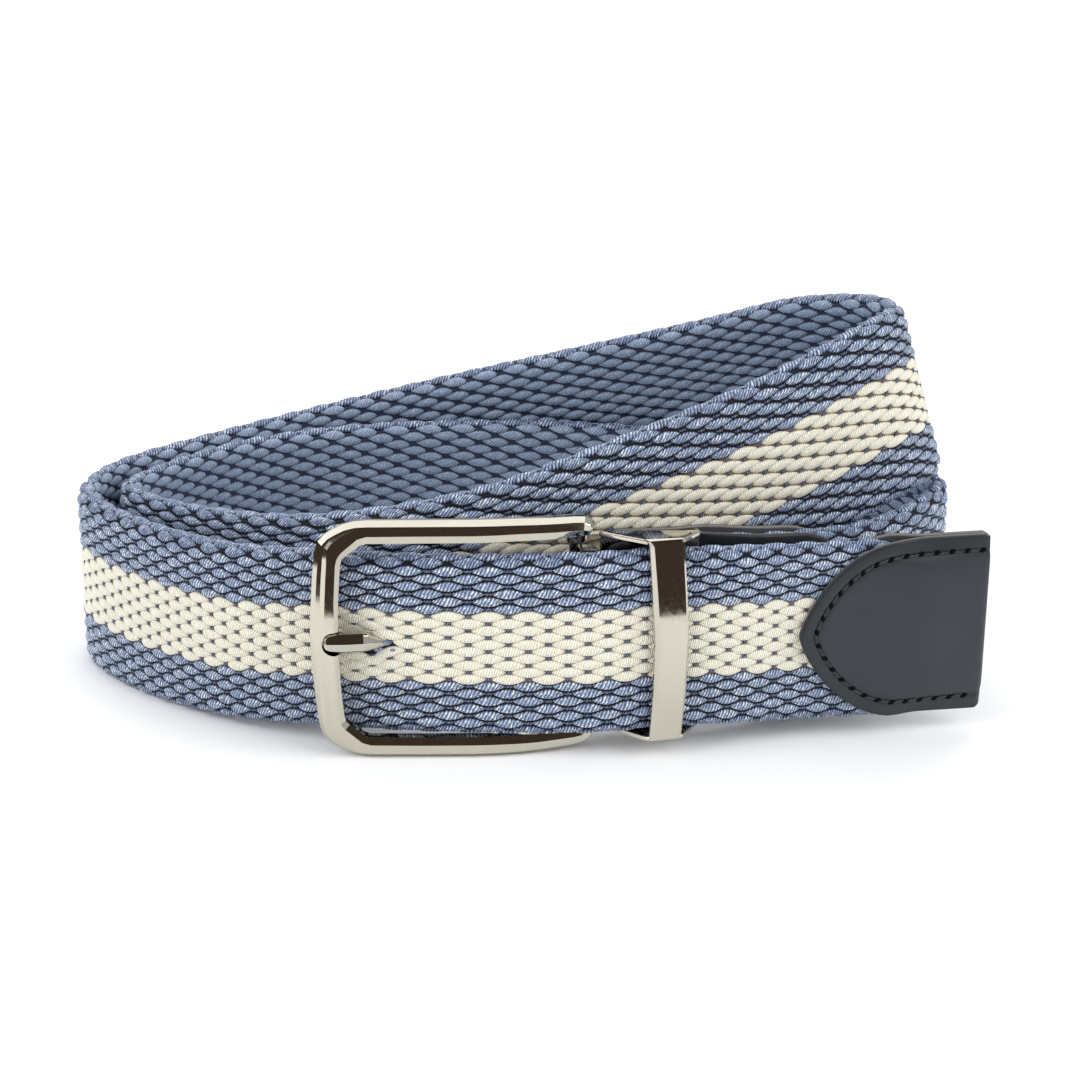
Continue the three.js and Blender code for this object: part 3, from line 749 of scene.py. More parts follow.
Band = namedtuple("Band", "name rings first last shift yarn share half_height rise fullness slants")
bands = [
    Band("braid_ivory", 12, 7, 16, 0, ivory_yarn, 0.92, 1.26, 0.64, 2.0, 1),
    Band("braid_blue_upper", 12, 1, 6, 0, blue_yarn, 0.85, 1.11, 0.7, 1.9, 1),
    Band("braid_blue_lower", 12, 17, 22, 0, blue_yarn, 0.85, 1.11, 0.7, 1.9, 1),
    Band("braid_side_upper", 12, 0, 0, 0, selvage_yarn, 0.84, 1.13, 0.75, 2.0, 1),
    Band("braid_side_lower", 12, 23, 23, 0, selvage_yarn, 0.84, 1.13, 0.75, 2.0, 1),
    Band("braid_edge_upper", 14, -1, -1, 0, selvage_yarn, 1.02, 1.35, 0.95, 2.4, 0),
    Band("braid_edge_lower", 14, 24, 24, 0, selvage_yarn, 1.02, 1.35, 0.95, 2.4, 0),
    Band("braid_knots_stripe", 4, 7, 16, 1, knot_yarn, 0.17, 0.42, 0.42, 4.0, 0),
    Band("braid_knots_side", 4, 1, 6, 1, knot_yarn, 0.24, 0.30, 0.40, 3.0, 0),
    Band("braid_knots_low", 4, 17, 22, 1, knot_yarn, 0.24, 0.30, 0.40, 3.0, 0),
    Band("braid_inner_upper", 8, -13, -2, 0, inner_yarn, 0.86, 1.12, 0.66, 2.0, 1),
    Band("braid_inner_lower", 8, 25, 36, 0, inner_yarn, 0.86, 1.12, 0.66, 2.0, 1),
]
bared_strands = Band("braid_bared", 6, 11, 12, 0, blue_yarn, 0.34, 0.72, 0.66, 2.2, 1)
bared_columns = [(110.9, 0), (112.3, 1), (113.7, 0), (115.1, 1), (116.5, 0)]
first_face_row, last_face_row = 0, 23
braid_tree = braid_shape()


def lay_band(band, columns, half_gap):
    """Lays one band of floats on the strap, and spreads it by the half gap round the prong."""
    places = np.array([place for place, _ in columns])
    sample = yarn_float(band.name + "_sample", band.rings, band.fullness)
    piece = new_object(band.name, [(place * mm, 0, 0) for place in places], [], band.yarn)
    leans = np.full(len(places), inner_lean)
    skews = np.full(len(places), inner_skew)
    slims = np.zeros(len(places))
    if first_face_row <= band.first <= last_face_row:
        leans, skews, slims = (at(set_along, column, places) for column in ("lean", "skew", "slim"))
    rows = {
        "parity": ("INT", [int(odd) for _, odd in columns]),
        "half_length": ("FLOAT", at(pitch_along, "pitch", places) * band.share / 2 * mm),
        "swell": ("FLOAT", at(set_along, "swell", places)),
        "lean": ("FLOAT", leans * band.slants),
        "skew": ("FLOAT", skews * band.slants),
        "slim": ("FLOAT", slims * band.slants),
    }
    for name, (kind, values) in rows.items():
        attribute = piece.data.attributes.new(name, kind, "POINT")
        attribute.data.foreach_set("value", values)
    run_tree(piece, braid_tree, {
        **section_values, "Float": sample, "First row": band.first, "Last row": band.last,
        "Shift": band.shift, "Stripe rows": float(stripe_rows), "Stripe spacing": stripe_spacing * mm,
        "Side spacing": side_spacing * mm, "Edge row": edge_row, "Half height": band.half_height * mm,
        "Rise": band.rise * mm, "Place": prong_place * mm, "Half gap": half_gap * mm,
        "Material": band.yarn})
    bpy.data.objects.remove(sample)
    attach(piece, "root")


all_columns = half_pitch_places(first_float, coil_length - first_float, marked_float)
for band in bands:
    lay_band(band, all_columns, part_half if first_face_row <= band.first <= last_face_row else 0.0)
lay_band(bared_strands, bared_columns, 0.0)


# Leather ends: a smooth calf strip folded round each end of the strap, thinned at the fold, glued and
# sewn through. Both panels end in a soft point, with a darker rim and a sunk line of black thread: edge
# paint at the cut edge, painted shade in the seam's groove.
# A cover's rim colour is what its rim darkens to: edge paint at the cut edge, and painted shade in the
# sunk seam groove.
Cover = namedtuple("Cover", "name node length arch half lift lean fold_radius at_far_end face rim")
covers = [
    Cover("tip_cover", "tip_leather", 36.4, 19.5, 17.7, 1.0, 0.034, 1.0, False,
          linear(43, 48, 54), linear(27, 31, 35)),
    Cover("chape_cover", "chape_leather", 56, 19.5, 17.7, 1.7, 0.0, 1.6, True,
          linear(26, 30, 39), linear(15, 17, 23)),
]
leather_thickness = 1.1
panel_depth = 2.25
rim_depth = 0.78
seam_inset = 3.0
stitch_pitch = 2.9
seam_start_upper, seam_start_lower = 1.9, 3.6
flesh_colour = linear(118, 114, 106)
# Per inset from the panel's edge: its height, and how far it darkens to the rim colour. This darkening
# is edge paint at the cut edge, a darker border band, and painted shade in the sunk seam groove.
Inset = namedtuple("Inset", "inset height dark")
rim_profile = [
    Inset(0, -0.34, 1), Inset(0.1, -0.1, 1), Inset(0.3, 0, 0.8), Inset(0.6, 0.03, 0.5),
    Inset(1.4, 0.03, 0.4), Inset(2.2, 0, 0.4), Inset(2.6, -0.1, 0.6), Inset(2.85, -0.2, 0.9),
    Inset(3.15, -0.2, 0.9), Inset(3.45, -0.1, 0.4), Inset(3.9, 0, 0.1), Inset(4.6, 0.02, 0),
]
Under = namedtuple("Under", "inset height flesh")
under_profile = [Under(0, 0.2, 1), Under(0.4, 0, 0.1), Under(5.0, 0, 0.1)]
across_shares = (0.8, 0.55, 0.28)
point_power = 0.75
spread_from, spread_to = 1, 15
pinch_low, pinch_high = 12.5, 17
pinch_from, pinch_to = 12, 20
fold_relief = 0.25
corner_rounding = 0.04
point_steps, straight_steps, fold_steps = 20, 10, 10
merge_reach, collapse_reach = 0.012, 0.002


def on_coil(distance, height, depth):
    """Points by distance along the strap, height from its middle and depth out of its outer face."""
    middle, across, outward = (
        np.column_stack([np.interp(distance, coil_distance, rows[:, i]) for i in range(3)])
        for rows in (coil_middle, coil_across, coil_outward))
    before_start = np.minimum(distance, 0)
    ahead_there = unit(coil_middle[1:2] - coil_middle[:1])
    return (middle + before_start[:, None] * ahead_there + unit(across) * height[:, None]
            + unit(outward) * depth[:, None] - footprint_middle)


def panel_half(cover, inset, into_point):
    """Half height of a panel at a place in its point, from 0 where it starts to 1 at its apex."""
    return (cover.half - inset) * (1 - into_point ** 2) ** point_power


def panel_middle(cover, from_fold, height):
    """Depth of the middle of a panel's leather: near the strap's middle at the fold and its rims."""
    spread = ease(from_fold, spread_from, spread_to)
    over_strap = cover.fold_radius + (panel_depth - cover.fold_radius) * spread
    pinch = ease(np.abs(height), pinch_low, pinch_high) * (1 - ease(from_fold, pinch_from, pinch_to))
    return over_strap + (rim_depth - over_strap) * pinch


def on_cover(cover, from_fold, height, rise, side):
    """Points on a panel of a leather end; side is 1 on the outer panel and -1 on the inner one."""
    fading = 1 - from_fold / cover.length
    depth = side * (panel_middle(cover, from_fold, height) + leather_thickness / 2 + rise)
    distance = from_fold + cover.lean * height * fading
    if cover.at_far_end:
        distance = coil_length - distance
    return on_coil(distance, height + cover.lift * fading, depth)


def other_half(columns):
    """The same columns of a section in mirror order, on the other side of its middle."""
    return [(inset, -share, *rest) for inset, share, *rest in reversed(columns)]


def grid_faces(rows, count):
    """Faces between neighbouring rows of a closed section."""
    return [(r * count + k, r * count + (k + 1) % count,
             (r + 1) * count + (k + 1) % count, (r + 1) * count + k)
            for r in range(rows - 1) for k in range(count)]


def cover_mesh(cover):
    """One closed leather strip from the outer panel's point round the fold to the inner one's."""
    last = rim_profile[-1]
    top = [(row.inset, 1, row.height, row.dark, 0) for row in rim_profile]
    top += [(last.inset, share, last.height, 0, 0) for share in across_shares]
    half_way = [(last.inset, 0, last.height, 0, 0)]
    under = [(row.inset, -1, row.height - leather_thickness, 0, row.flesh) for row in under_profile]
    columns = np.array(top + half_way + other_half(top) + under + other_half(under), float)
    inset, share, rise, dark, flesh = columns.T
    start = cover.fold_radius + leather_thickness / 2
    point_start = cover.length - cover.arch
    panel = []
    for step in range(point_steps + 1):
        into = 1 - (step / point_steps) ** 2
        panel.append((point_start + into * (cover.arch - inset), into))
    for step in range(1, straight_steps + 1):
        along = point_start + (start - point_start) * step / straight_steps
        panel.append((np.full_like(inset, along), 0))

    def panel_rows(places, side):
        return [on_cover(cover, place, share * panel_half(cover, inset, into), rise, side)
                for place, into in places]

    height = share * panel_half(cover, inset, 0)
    fold_rise = np.where(rise > -leather_thickness / 2, rise * fold_relief, rise)
    middle = panel_middle(cover, np.full_like(inset, start), height)
    bend = middle + leather_thickness / 2 + fold_rise
    rows = panel_rows(panel, 1)
    for step in range(1, fold_steps):
        angle = math.pi * step / fold_steps
        distance = start - bend * math.sin(angle) + cover.lean * height
        if cover.at_far_end:
            distance = coil_length - distance
        lift = cover.lift * (1 - start / cover.length)
        rounded = height * (1 - corner_rounding * math.sin(angle)) + lift
        rows.append(on_coil(distance, rounded, bend * math.cos(angle)))
    rows += panel_rows(reversed(panel), -1)
    piece = new_object(cover.name, np.vstack(rows) * mm, grid_faces(len(rows), len(columns)))
    for name, values in (("rim", dark), ("flesh", flesh)):
        layer = piece.data.attributes.new(name, "FLOAT", "POINT")
        layer.data.foreach_set("value", np.tile(values, len(rows)).astype(np.float32))
    return close_shell(piece)


def close_shell(piece):
    """Merges the mesh's doubles and turns its faces outwards."""
    shell = bmesh.new()
    shell.from_mesh(piece.data)
    bmesh.ops.remove_doubles(shell, verts=shell.verts, dist=merge_reach * mm)
    bmesh.ops.dissolve_degenerate(shell, dist=collapse_reach * mm, edges=shell.edges)
    bmesh.ops.recalc_face_normals(shell, faces=shell.faces)
    shell.to_mesh(piece.data)
    shell.free()
    piece.data.shade_smooth()
    return piece


def leather_material(name, face, rim):
    """Satin calf: fine grain and a slow cloudiness over the hide, a darker rim (edge paint at the cut
    edge, painted shade in the seam's groove) and a paler inside.
    """
    material, tree, shader = new_material(name, face, 0.5, specular=0.45)
    place = add_node(tree, "ShaderNodeTexCoord").outputs["Object"]
    cloud = add_node(tree, "ShaderNodeTexNoise",
                     {"Vector": place, "Scale": 130, "Detail": 4}).outputs[0]
    grain = add_node(tree, "ShaderNodeTexVoronoi", {"Vector": place, "Scale": 3200}).outputs[0]
    pores = add_node(tree, "ShaderNodeTexNoise",
                     {"Vector": place, "Scale": 1500, "Detail": 5}).outputs[0]
    shade = add_node(tree, "ShaderNodeMapRange", {"Value": cloud, "From Min": 0.3, "From Max": 0.7,
                     "To Min": 0.93, "To Max": 1.07}).outputs[0]
    clouded = add_node(tree, "ShaderNodeVectorMath", {0: face[:3]}, operation="SCALE")
    tree.links.new(shade, clouded.inputs["Scale"])
    at_rim, at_flesh = (add_node(tree, "ShaderNodeAttribute", attribute_name=name).outputs["Fac"]
                        for name in ("rim", "flesh"))
    rimmed = blend(tree, at_rim, clouded.outputs[0], rim)
    tree.links.new(blend(tree, at_flesh, rimmed, flesh_colour), shader.inputs["Base Color"])
    rough = add_node(tree, "ShaderNodeMapRange", {"Value": pores, "From Min": 0.3, "From Max": 0.7,
                     "To Min": 0.43, "To Max": 0.56}).outputs[0]
    tree.links.new(rough, shader.inputs["Roughness"])
    relief = maths(tree, "MULTIPLY_ADD", pores, 0.7, grain)
    bump = add_node(tree, "ShaderNodeBump", {"Height": relief, "Strength": 0.35, "Distance": 0.05 * mm})
    tree.links.new(bump.outputs[0], shader.inputs["Normal"])
    return material


seam_samples = 200


def seam_places(cover):
    """Places of the stitches on a panel, along its rim from one side of the fold to the other."""
    into = 1 - np.linspace(0, 1, seam_samples) ** 2
    point_start = cover.length - cover.arch
    up_x = np.concatenate([[seam_start_upper], point_start + into[::-1] * (cover.arch - seam_inset)])
    up_y = np.concatenate([[cover.half - seam_inset], panel_half(cover, seam_inset, into[::-1])])
    x = np.concatenate([up_x, up_x[-2::-1]])
    x[-1] = seam_start_lower
    y = np.concatenate([up_y, -up_y[-2::-1]])
    run = np.concatenate([[0], np.cumsum(np.hypot(np.diff(x), np.diff(y)))])
    count = round(run[-1] / stitch_pitch)
    marks = np.linspace(0, run[-1], 2 * count + 1)
    return np.interp(marks, run, x), np.interp(marks, run, y)


def stitch_shape():
    """Tree: one thread float, or a black blob painting a hole's shade, at each place of a seam, turned
    along it and standing out of its face.
    """
    tree, given, result = new_tree("stitches", {
        "Float": "Object", "Half length": "Float", "Half width": "Float", "Rise": "Float",
        "Material": "Material"})

    def marked(name):
        return add_node(tree, "GeometryNodeInputNamedAttribute", {"Name": name},
                        data_type="FLOAT_VECTOR").outputs[0]

    along = add_node(tree, "FunctionNodeAlignRotationToVector", {"Vector": marked("heading")}, axis="X")
    upright = add_node(tree, "FunctionNodeAlignRotationToVector", {"Rotation": along.outputs[0],
                       "Vector": marked("facing")}, axis="Z", pivot_axis="X")
    shape = add_node(tree, "GeometryNodeObjectInfo", {"Object": given["Float"]}).outputs["Geometry"]
    size = add_node(tree, "ShaderNodeCombineXYZ",
                    {0: given["Half length"], 1: given["Half width"], 2: given["Rise"]}).outputs[0]
    placed = add_node(tree, "GeometryNodeInstanceOnPoints", {
        "Points": given["Geometry"], "Instance": shape, "Rotation": upright.outputs[0], "Scale": size})
    real = add_node(tree, "GeometryNodeRealizeInstances", {"Geometry": placed.outputs[0]})
    covered = add_node(tree, "GeometryNodeSetMaterial",
                       {"Geometry": real.outputs[0], "Material": given["Material"]})
    tree.links.new(covered.outputs[0], result[0])
    return tree


# The black thread's yarn colours hold the same painted shade in its grooves and at its rim, and painted
# highlights on its ribs.
thread = yarn_material(
    "thread", linear(8, 8, 10), linear(34, 35, 39), linear(112, 115, 120), linear(8, 8, 10),
    0.45, 3.0, 1.2)
# Painted shade: a flat black blob over each stitch hole stands in for the shade inside it.
hole_shade_material, _, _ = new_material("stitch_hole", linear(7, 7, 9), 0.9, specular=0.1)
Stitch = namedtuple("Stitch", "name first half_length half_width rise lift turn material")
stitch_kinds = [
    Stitch("thread", 1, 1.2, 0.32, 0.36, -0.16, 8, thread),
    Stitch("holes", 0, 0.8, 0.56, 0.12, -0.12, 35, hole_shade_material),
]
stitch_tree = stitch_shape()
stitch_rings = 8
for cover in covers:
    piece = cover_mesh(cover)
    piece.data.materials.append(leather_material(cover.name, cover.face, cover.rim))
    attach(piece, "root")
    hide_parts(cover.node)
    x, y = seam_places(cover)
    for kind in stitch_kinds:
        places, headings, facings = [], [], []
        for side in (1, -1):
            line = on_cover(cover, x, y, np.full_like(x, kind.lift), side)
            above = on_cover(cover, x, y, np.full_like(x, kind.lift + 1), side)
            facing = unit(above - line)
            heading = unit(np.gradient(line, axis=0))
            aside = np.cross(facing, heading)
            turn = math.radians(kind.turn)
            places.append(line[kind.first::2])
            headings.append((heading * math.cos(turn) + aside * math.sin(turn))[kind.first::2])
            facings.append(facing[kind.first::2])
        sample = yarn_float("stitch_sample", stitch_rings, 3.0)
        seam = new_object(f"{cover.name}_{kind.name}", np.vstack(places) * mm, [], kind.material)
        for name, rows in (("heading", headings), ("facing", facings)):
            attribute = seam.data.attributes.new(name, "FLOAT_VECTOR", "POINT")
            attribute.data.foreach_set("vector", np.vstack(rows).astype(np.float32).ravel())
        run_tree(seam, stitch_tree, {"Float": sample, "Half length": kind.half_length * mm,
                 "Half width": kind.half_width * mm, "Rise": kind.rise * mm, "Material": kind.material})
        bpy.data.objects.remove(sample)
        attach(seam, "root")


bpy.data.objects.remove(coil_path)


# Buckle frame: one cast bar with flat polished faces, ground and plated. Its left side is widest at
# the prong's notch, and both arms curve back at their ends to hold the swivel bar.
metal_colour = (0.56, 0.53, 0.44, 1)
frame_middle = 23.5
prong_middle = 23.2
arm_rise = 21.4
Bar = namedtuple("Bar", "x rise turn width slope inner depth front")
arm_bars = [
    Bar(9.4, 20.1, -30, 2.3, 0.3, 0.7, 4.6, 4.8), Bar(8.9, 20.6, -18, 3.0, 0.3, 1.0, 5.0, 4.5),
    Bar(8.0, 20.95, -6, 3.5, 0.3, 1.3, 5.4, 3.95), Bar(6.3, 21.1, 0, 3.7, 0.3, 1.4, 5.8, 3.3),
    Bar(3, 21.2, 0, 3.8, 0.3, 1.4, 5.8, 2.35), Bar(-0.5, 21.3, 0, 3.9, 0.3, 1.5, 5.6, 1.55),
    Bar(-4, arm_rise, 0, 4.0, 0.3, 1.5, 5.2, 1.0), Bar(-8, arm_rise, 0, 4.1, 0.3, 1.5, 4.8, 0.5),
    Bar(-12, arm_rise, 0, 4.15, 0.3, 1.5, 4.4, 0.2), Bar(-22, arm_rise, 0, 4.15, 0.3, 1.5, 4.4, 0.05),
]
corner_bars = [
    Bar(-31.2, 21.35, 0, 4.2, 0.3, 1.5, 4.4, 0), Bar(-33.0, 21.05, 12, 4.5, 0.35, 1.4, 4.4, 0),
    Bar(-34.4, 20.4, 28, 5.0, 0.4, 1.3, 4.4, 0), Bar(-35.9, 19.45, 38, 5.3, 0.5, 1.2, 4.3, 0),
    Bar(-36.95, 18.75, 45, 5.45, 0.6, 1.1, 4.3, -0.05), Bar(-37.7, 17.9, 58, 5.4, 0.7, 1.0, 4.3, -0.1),
    Bar(-38.2, 16.8, 72, 5.1, 0.8, 0.9, 4.2, -0.1), Bar(-38.45, 15.3, 80, 4.95, 0.8, 0.9, 4.2, -0.1),
]
side_bars = [
    Bar(-38.75, 12.3, 84, 4.95, 0.8, 0.8, 4.2, -0.1), Bar(-39.05, 7.9, 87, 5.0, 0.8, 0.8, 4.2, -0.15),
    Bar(-39.3, 2, 89, 5.15, 0.8, 0.7, 4.2, -0.2), Bar(-39.35, 0, 90, 5.2, 0.8, 0.7, 4.2, -0.2),
]


bevel_limit, bevel_share = 0.85, 0.21
back_limit, back_share, inner_back_share = 1.2, 0.36, 0.75
arm_facet, arm_ridge, side_growth = 0.1, 0.15, 0.75
ridge_fall, facet_fall = 0.75, 0.25
arm_fall, side_fall = 1.2, 0.8
outer_flank, flank_turn, flank_step, inner_flank = 2.0, 0.1, 0.4, 2.2
inner_rim = 0.3


def bar_ring(bar, side):
    """The faceted section of the frame's bar at one place, above or below the frame's middle."""
    half = bar.width / 2
    upright = max(bar.turn, 0) / 90
    bevel = min(bevel_limit, bevel_share * bar.width)
    back_slope = min(back_limit, back_share * bar.width)
    facet = arm_facet + side_growth * upright
    ridge = arm_ridge + side_growth * upright
    ridge_foot = ridge_fall * ridge
    facet_foot = ridge_foot + facet_fall * facet
    bevel_foot = facet_foot + arm_fall + (side_fall - arm_fall) * upright
    inner_foot = bar.slope * bar.inner
    section = [
        (half - back_slope, bar.depth), (half - flank_turn, outer_flank + flank_step),
        (half, outer_flank), (half, bevel_foot), (half - bevel, facet_foot),
        (half - bevel - facet, ridge_foot), (half - bevel - facet - ridge, 0),
        (bar.inner - half, 0), (-half, inner_foot), (-half, inner_foot + inner_rim),
        (-half, inner_flank), (inner_back_share * back_slope - half, bar.depth),
    ]
    turn = math.radians(bar.turn)
    return [(bar.x - out * math.sin(turn), bar.front + deep,
             frame_middle + side * (bar.rise + out * math.cos(turn))) for out, deep in section]


def loft(name, rings, material):
    """A closed body through rings with the same number of points, with flat ends."""
    count = len(rings[0])
    points = (np.array(rings, float).reshape(-1, 3) - footprint_middle) * mm
    last = (len(rings) - 1) * count
    ends = [tuple(range(count)), tuple(last + k for k in range(count))]
    return close_shell(new_object(name, points, grid_faces(len(rings), count) + ends, material))


def apply_modifier(piece, kind, **settings):
    """Keeps one modifier's result as the piece's plain mesh."""
    modifier = piece.modifiers.new(kind.lower(), kind)
    for name, value in settings.items():
        setattr(modifier, name, value)
    return keep_result(piece, modifier)


sharp_angle = math.radians(9)


def round_edges(piece, width):
    """Rounds the edges between flat faces as polishing does."""
    return apply_modifier(piece, "BEVEL", width=width * mm, segments=2, limit_method="ANGLE",
                          angle_limit=sharp_angle, harden_normals=True)


def polished_metal(name, colour):
    """Gunmetal plating: mirror faces with a faint waviness from the buffing wheel."""
    material, tree, shader = new_material(name, colour, 0.1, metallic=1.0)
    place = add_node(tree, "ShaderNodeTexCoord").outputs["Object"]
    wave = add_node(tree, "ShaderNodeTexNoise",
                    {"Vector": place, "Scale": 160, "Detail": 2}).outputs[0]
    scuffs = add_node(tree, "ShaderNodeTexNoise",
                      {"Vector": place, "Scale": 900, "Detail": 3}).outputs[0]
    rough = add_node(tree, "ShaderNodeMapRange", {"Value": scuffs, "From Min": 0.35, "From Max": 0.75,
                     "To Min": 0.05, "To Max": 0.1}).outputs[0]
    tree.links.new(rough, shader.inputs["Roughness"])
    bump = add_node(tree, "ShaderNodeBump", {"Height": wave, "Strength": 0.08, "Distance": 0.05 * mm})
    tree.links.new(bump.outputs[0], shader.inputs["Normal"])
    return material


gunmetal = polished_metal("gunmetal", metal_colour)
upper_bars = arm_bars + corner_bars + side_bars
lower_bars = list(reversed(upper_bars[:-1]))
frame_rings = [bar_ring(bar, 1) for bar in upper_bars] + [bar_ring(bar, -1) for bar in lower_bars]
buckle = loft("frame_bar", frame_rings, gunmetal)

notch_x, notch_half = -37.5, 2.3
notch_front, notch_depth, notch_reach = -5, 2.0, 10
notch_steps = 16
frame_rounding = 0.12
notch = [(notch_x - notch_half * math.cos(a), prong_middle + notch_half * math.sin(a))
         for a in np.linspace(-math.pi / 2, math.pi / 2, notch_steps)]
notch += [(notch_x + notch_reach, prong_middle + side * notch_half) for side in (1, -1)]
cutter = loft("notch", [[(x, y, z) for x, z in notch] for y in (notch_front, notch_depth)], gunmetal)
apply_modifier(buckle, "BOOLEAN", operation="DIFFERENCE", object=cutter, solver="EXACT")
bpy.data.objects.remove(cutter)
round_edges(buckle, frame_rounding)
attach(buckle, "root")
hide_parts("buckle_frame")


# Prong: a ridged pin from the swivel bar behind the strap, bent out through the braid, with its
# round tip in the frame's notch. Its upper half is ground to face up and its lower half down.
Pin = namedtuple("Pin", "x y height ridge drop")
pins = [
    Pin(4, 6.0, 3.6, 0.1, 0), Pin(-10, 5.9, 3.4, 0.1, 0), Pin(-19, 6.4, 2.6, 0.1, 0.3),
    Pin(-23, 5.6, 2.0, 0.1, 0.9), Pin(-27.5, 3.4, 1.4, 0.2, 1.2), Pin(-29.2, 2.1, 1.9, 0.3, 0.8),
    Pin(-31.4, 0.5, 3.4, 0.4, 0.1),
    Pin(-32.2, 0.1, 3.65, 0.5, 0), Pin(-35, -0.25, 3.75, 0.5, 0), Pin(-37.4, -0.35, 3.75, 0.5, 0),
    Pin(-38.3, -0.35, 3.5, 0.4, 0), Pin(-38.9, -0.3, 2.9, 0.3, 0), Pin(-39.3, -0.1, 2.1, 0.15, 0),
    Pin(-39.45, 0.2, 1.3, 0.05, 0),
]
pin_thickness = 1.9
lip_limit, lip_share = 0.3, 0.25
crest_half = 0.1
pin_rounding = 0.1


def pin_ring(pin):
    """The ridged section of the pin at one place."""
    half = pin.height / 2
    lip = min(lip_limit, lip_share * half)
    section = [(half, pin_thickness), (half, pin.ridge + lip), (half - lip, pin.ridge),
               (crest_half, 0), (-crest_half, 0),
               (lip - half, pin.ridge), (-half, pin.ridge + lip), (-half, pin_thickness)]
    return [(pin.x, pin.y + deep, prong_middle - pin.drop + rise) for rise, deep in section]


pin_bar = round_edges(loft("prong_pin", [pin_ring(pin) for pin in pins], gunmetal), pin_rounding)
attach(pin_bar, "root")


# Swivel bar: a round pin across the frame, with the prong's two knuckles, a collar near each end and
# a stem to the clamp. All are turned rods with a small chamfer, in a darker copy of the frame's metal
# that paints the shade these parts sit in.
swivel_x, swivel_y = 6.5, 7.0
Turned = namedtuple("Turned", "name node radius low high")
turned_parts = [
    Turned("swivel_pin", "swivel_bar", 1.2, 1.6, 44.8),
    Turned("knuckle_upper", "prong", 2.2, 25.2, 27.6), Turned("knuckle_lower", "prong", 2.2, 18.8, 21.2),
    Turned("collar_upper", "", 1.75, 40.6, 42.7), Turned("collar_lower", "", 1.75, 4.2, 6.3),
]
# A darker copy of the same plating: painted shade on the swivel parts and the clamp, which are the same
# metal as the frame.
shaded_metal_colour = (0.27, 0.235, 0.19, 1)
hidden_gunmetal = polished_metal("hidden_gunmetal", shaded_metal_colour)
turned_sides = 32
turned_chamfer = 0.25
turned_rounding = 0.06
stem_start, stem_end, stem_radius = (swivel_x, 6.2, 23.2), (11.6, 6.8, 23.2), 1.5


def round_ring(x, y, z, radius, axis):
    """A circle round an upright or a level axis."""
    angles = np.linspace(0, 2 * math.pi, turned_sides, endpoint=False)
    if axis == "upright":
        return [(x + radius * math.cos(a), y + radius * math.sin(a), z) for a in angles]
    return [(x, y + radius * math.cos(a), z + radius * math.sin(a)) for a in angles]


def turned_body(name, places, radius, axis):
    """A turned rod between its first and last place, chamfered at both."""
    start, end = (np.array(place, float) for place in places)
    step = turned_chamfer * (end - start) / np.linalg.norm(end - start)
    stations = [(start, radius - turned_chamfer), (start + step, radius), (end - step, radius),
                (end, radius - turned_chamfer)]
    return loft(name, [round_ring(*place, size, axis) for place, size in stations], hidden_gunmetal)


for part in turned_parts:
    ends = ((swivel_x, swivel_y, part.low), (swivel_x, swivel_y, part.high))
    turned = round_edges(turned_body(part.name, ends, part.radius, "upright"), turned_rounding)
    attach(turned, "root")
    if part.node:
        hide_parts(part.node)
stem = turned_body("swivel_stem", (stem_start, stem_end), stem_radius, "level")
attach(stem, "root")


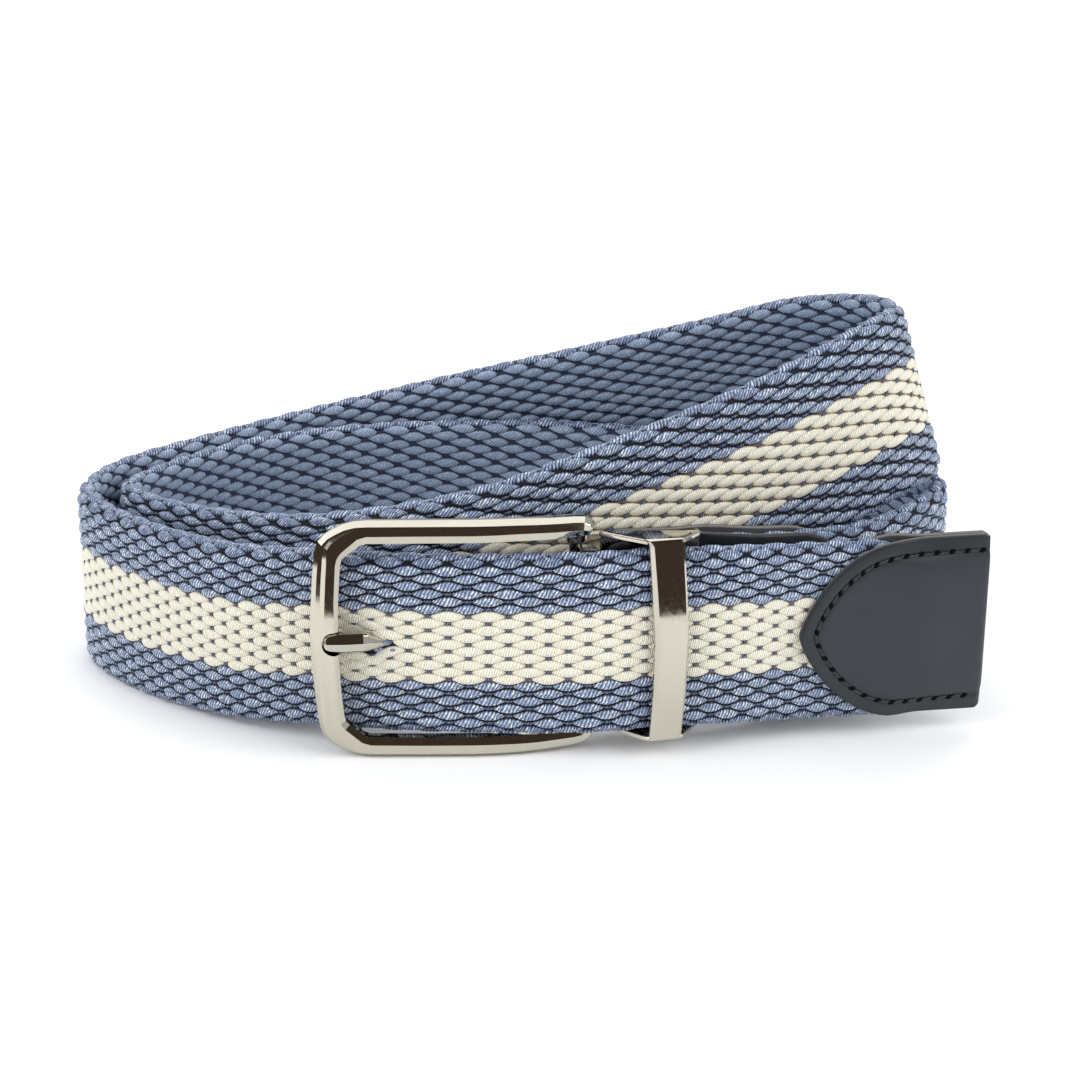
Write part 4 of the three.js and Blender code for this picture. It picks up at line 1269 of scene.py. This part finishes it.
# Keeper and clamp: one bent strip makes the loop's front bar and both its bridges. It is soldered to
# the clamp, whose two plates and web grip the strap's leather end. The clamp has the darker copy of the
# metal, which paints the shade it sits in.
clamp_x, clamp_y = 22, 4.6
clamp_turn = math.radians(9)
Strip = namedtuple("Strip", "y z out_y out_z left right bevel turn twist")
strips = [
    Strip(6.9, 42.7, 0, 1, 10.9, 29.3, 0.2, 0.03, 0), Strip(6.4, 43, 0, 1, 10.7, 29.2, 0.2, 0.03, 0),
    Strip(1.45, 43.4, 0, 1, 18.5, 26.2, 0.2, 0.12, 0),
    Strip(0.95, 43.25, -0.5, 0.87, 19.3, 26.0, 0.4, 0.15, 0.5),
    Strip(0.65, 42.8, -0.94, 0.34, 19.5, 26.0, 0.7, 0.156, 0.9),
    Strip(0.6, 42, -1, 0, 19.6, 26.1, 1, 0.156, 1), Strip(0.35, 33, -1, 0, 20.2, 26.7, 1.15, 0.156, 0.5),
    Strip(0, 23.5, -1, 0, 20.8, 27.2, 1.2, 0.156, 0),
    Strip(0.1, 13, -1, 0, 20.6, 26.8, 1, 0.156, -0.5),
    Strip(0.2, 4.6, -1, 0, 20.1, 26.1, 0.8, 0.156, -1),
    Strip(0.25, 4.0, -0.94, -0.34, 20.1, 25.9, 0.6, 0.156, -0.9),
    Strip(0.55, 3.55, -0.5, -0.87, 19.9, 25.8, 0.4, 0.15, -0.5),
    Strip(1.2, 3.4, 0, -1, 19.0, 26.4, 0.2, 0.12, 0), Strip(6.9, 3.4, 0, -1, 10.9, 29.3, 0.2, 0.03, 0),
]
strip_thickness = 0.85
strip_half = 3
twist_reach = 0.2
edge_fall, edge_drop, back_gap = 0.62, 0.25, 0.1
turn_in, bevel_fall = 0.2, 0.55
fine_bevel = 0.3
strip_rounding, plate_rounding = 0.14, 0.3


def strip_ring(strip):
    """The strip's section at one place: a wide bevel on its left, a fine one on its right."""
    wide = strip.bevel
    edge_foot = -edge_fall * wide - edge_drop
    back = min(-strip_thickness, edge_foot - back_gap)
    section = [
        (strip.left, back), (strip.left, edge_foot), (strip.left + turn_in * wide, -bevel_fall * wide),
        (strip.left + wide, 0), (strip.right - fine_bevel, 0), (strip.right, -fine_bevel),
        (strip.right, back),
    ]
    middle = (strip.left + strip.right) / 2
    ring = []
    for x, out in section:
        out += twist_reach * strip.twist * (x - middle) / strip_half
        y = strip.y + out * strip.out_y + (x - clamp_x) * strip.turn
        ring.append((x, y, strip.z + out * strip.out_z))
    return ring


keeper = loft("keeper_strip", [strip_ring(strip) for strip in strips], gunmetal)
round_edges(keeper, strip_rounding)
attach(keeper, "root")
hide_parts("keeper_clamp")

Plate = namedtuple("Plate", "name start end near far bottom top")
plates = [
    Plate("clamp_front", -10.7, 7.6, 2.7, 3.8, 3.6, 42.3),
    Plate("clamp_back", -11.9, 6.6, 9.9, 11.0, 6, 38.5),
    Plate("clamp_web", -11.9, -9.6, 2.9, 10.8, 6, 39.5),
    Plate("clamp_lug", -14.6, -11.2, 2.2, 4.2, 36.2, 39.8),
]


def plate_ring(plate, height):
    """The four corners of a plate at one height."""
    corners = ((plate.start, plate.near), (plate.end, plate.near),
               (plate.end, plate.far), (plate.start, plate.far))
    return [(clamp_x + u * math.cos(clamp_turn) - v * math.sin(clamp_turn),
             clamp_y + u * math.sin(clamp_turn) + v * math.cos(clamp_turn), height) for u, v in corners]


for plate in plates:
    rings = [plate_ring(plate, height) for height in (plate.bottom, plate.top)]
    slab = round_edges(loft(plate.name, rings, hidden_gunmetal), plate_rounding)
    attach(slab, "root")
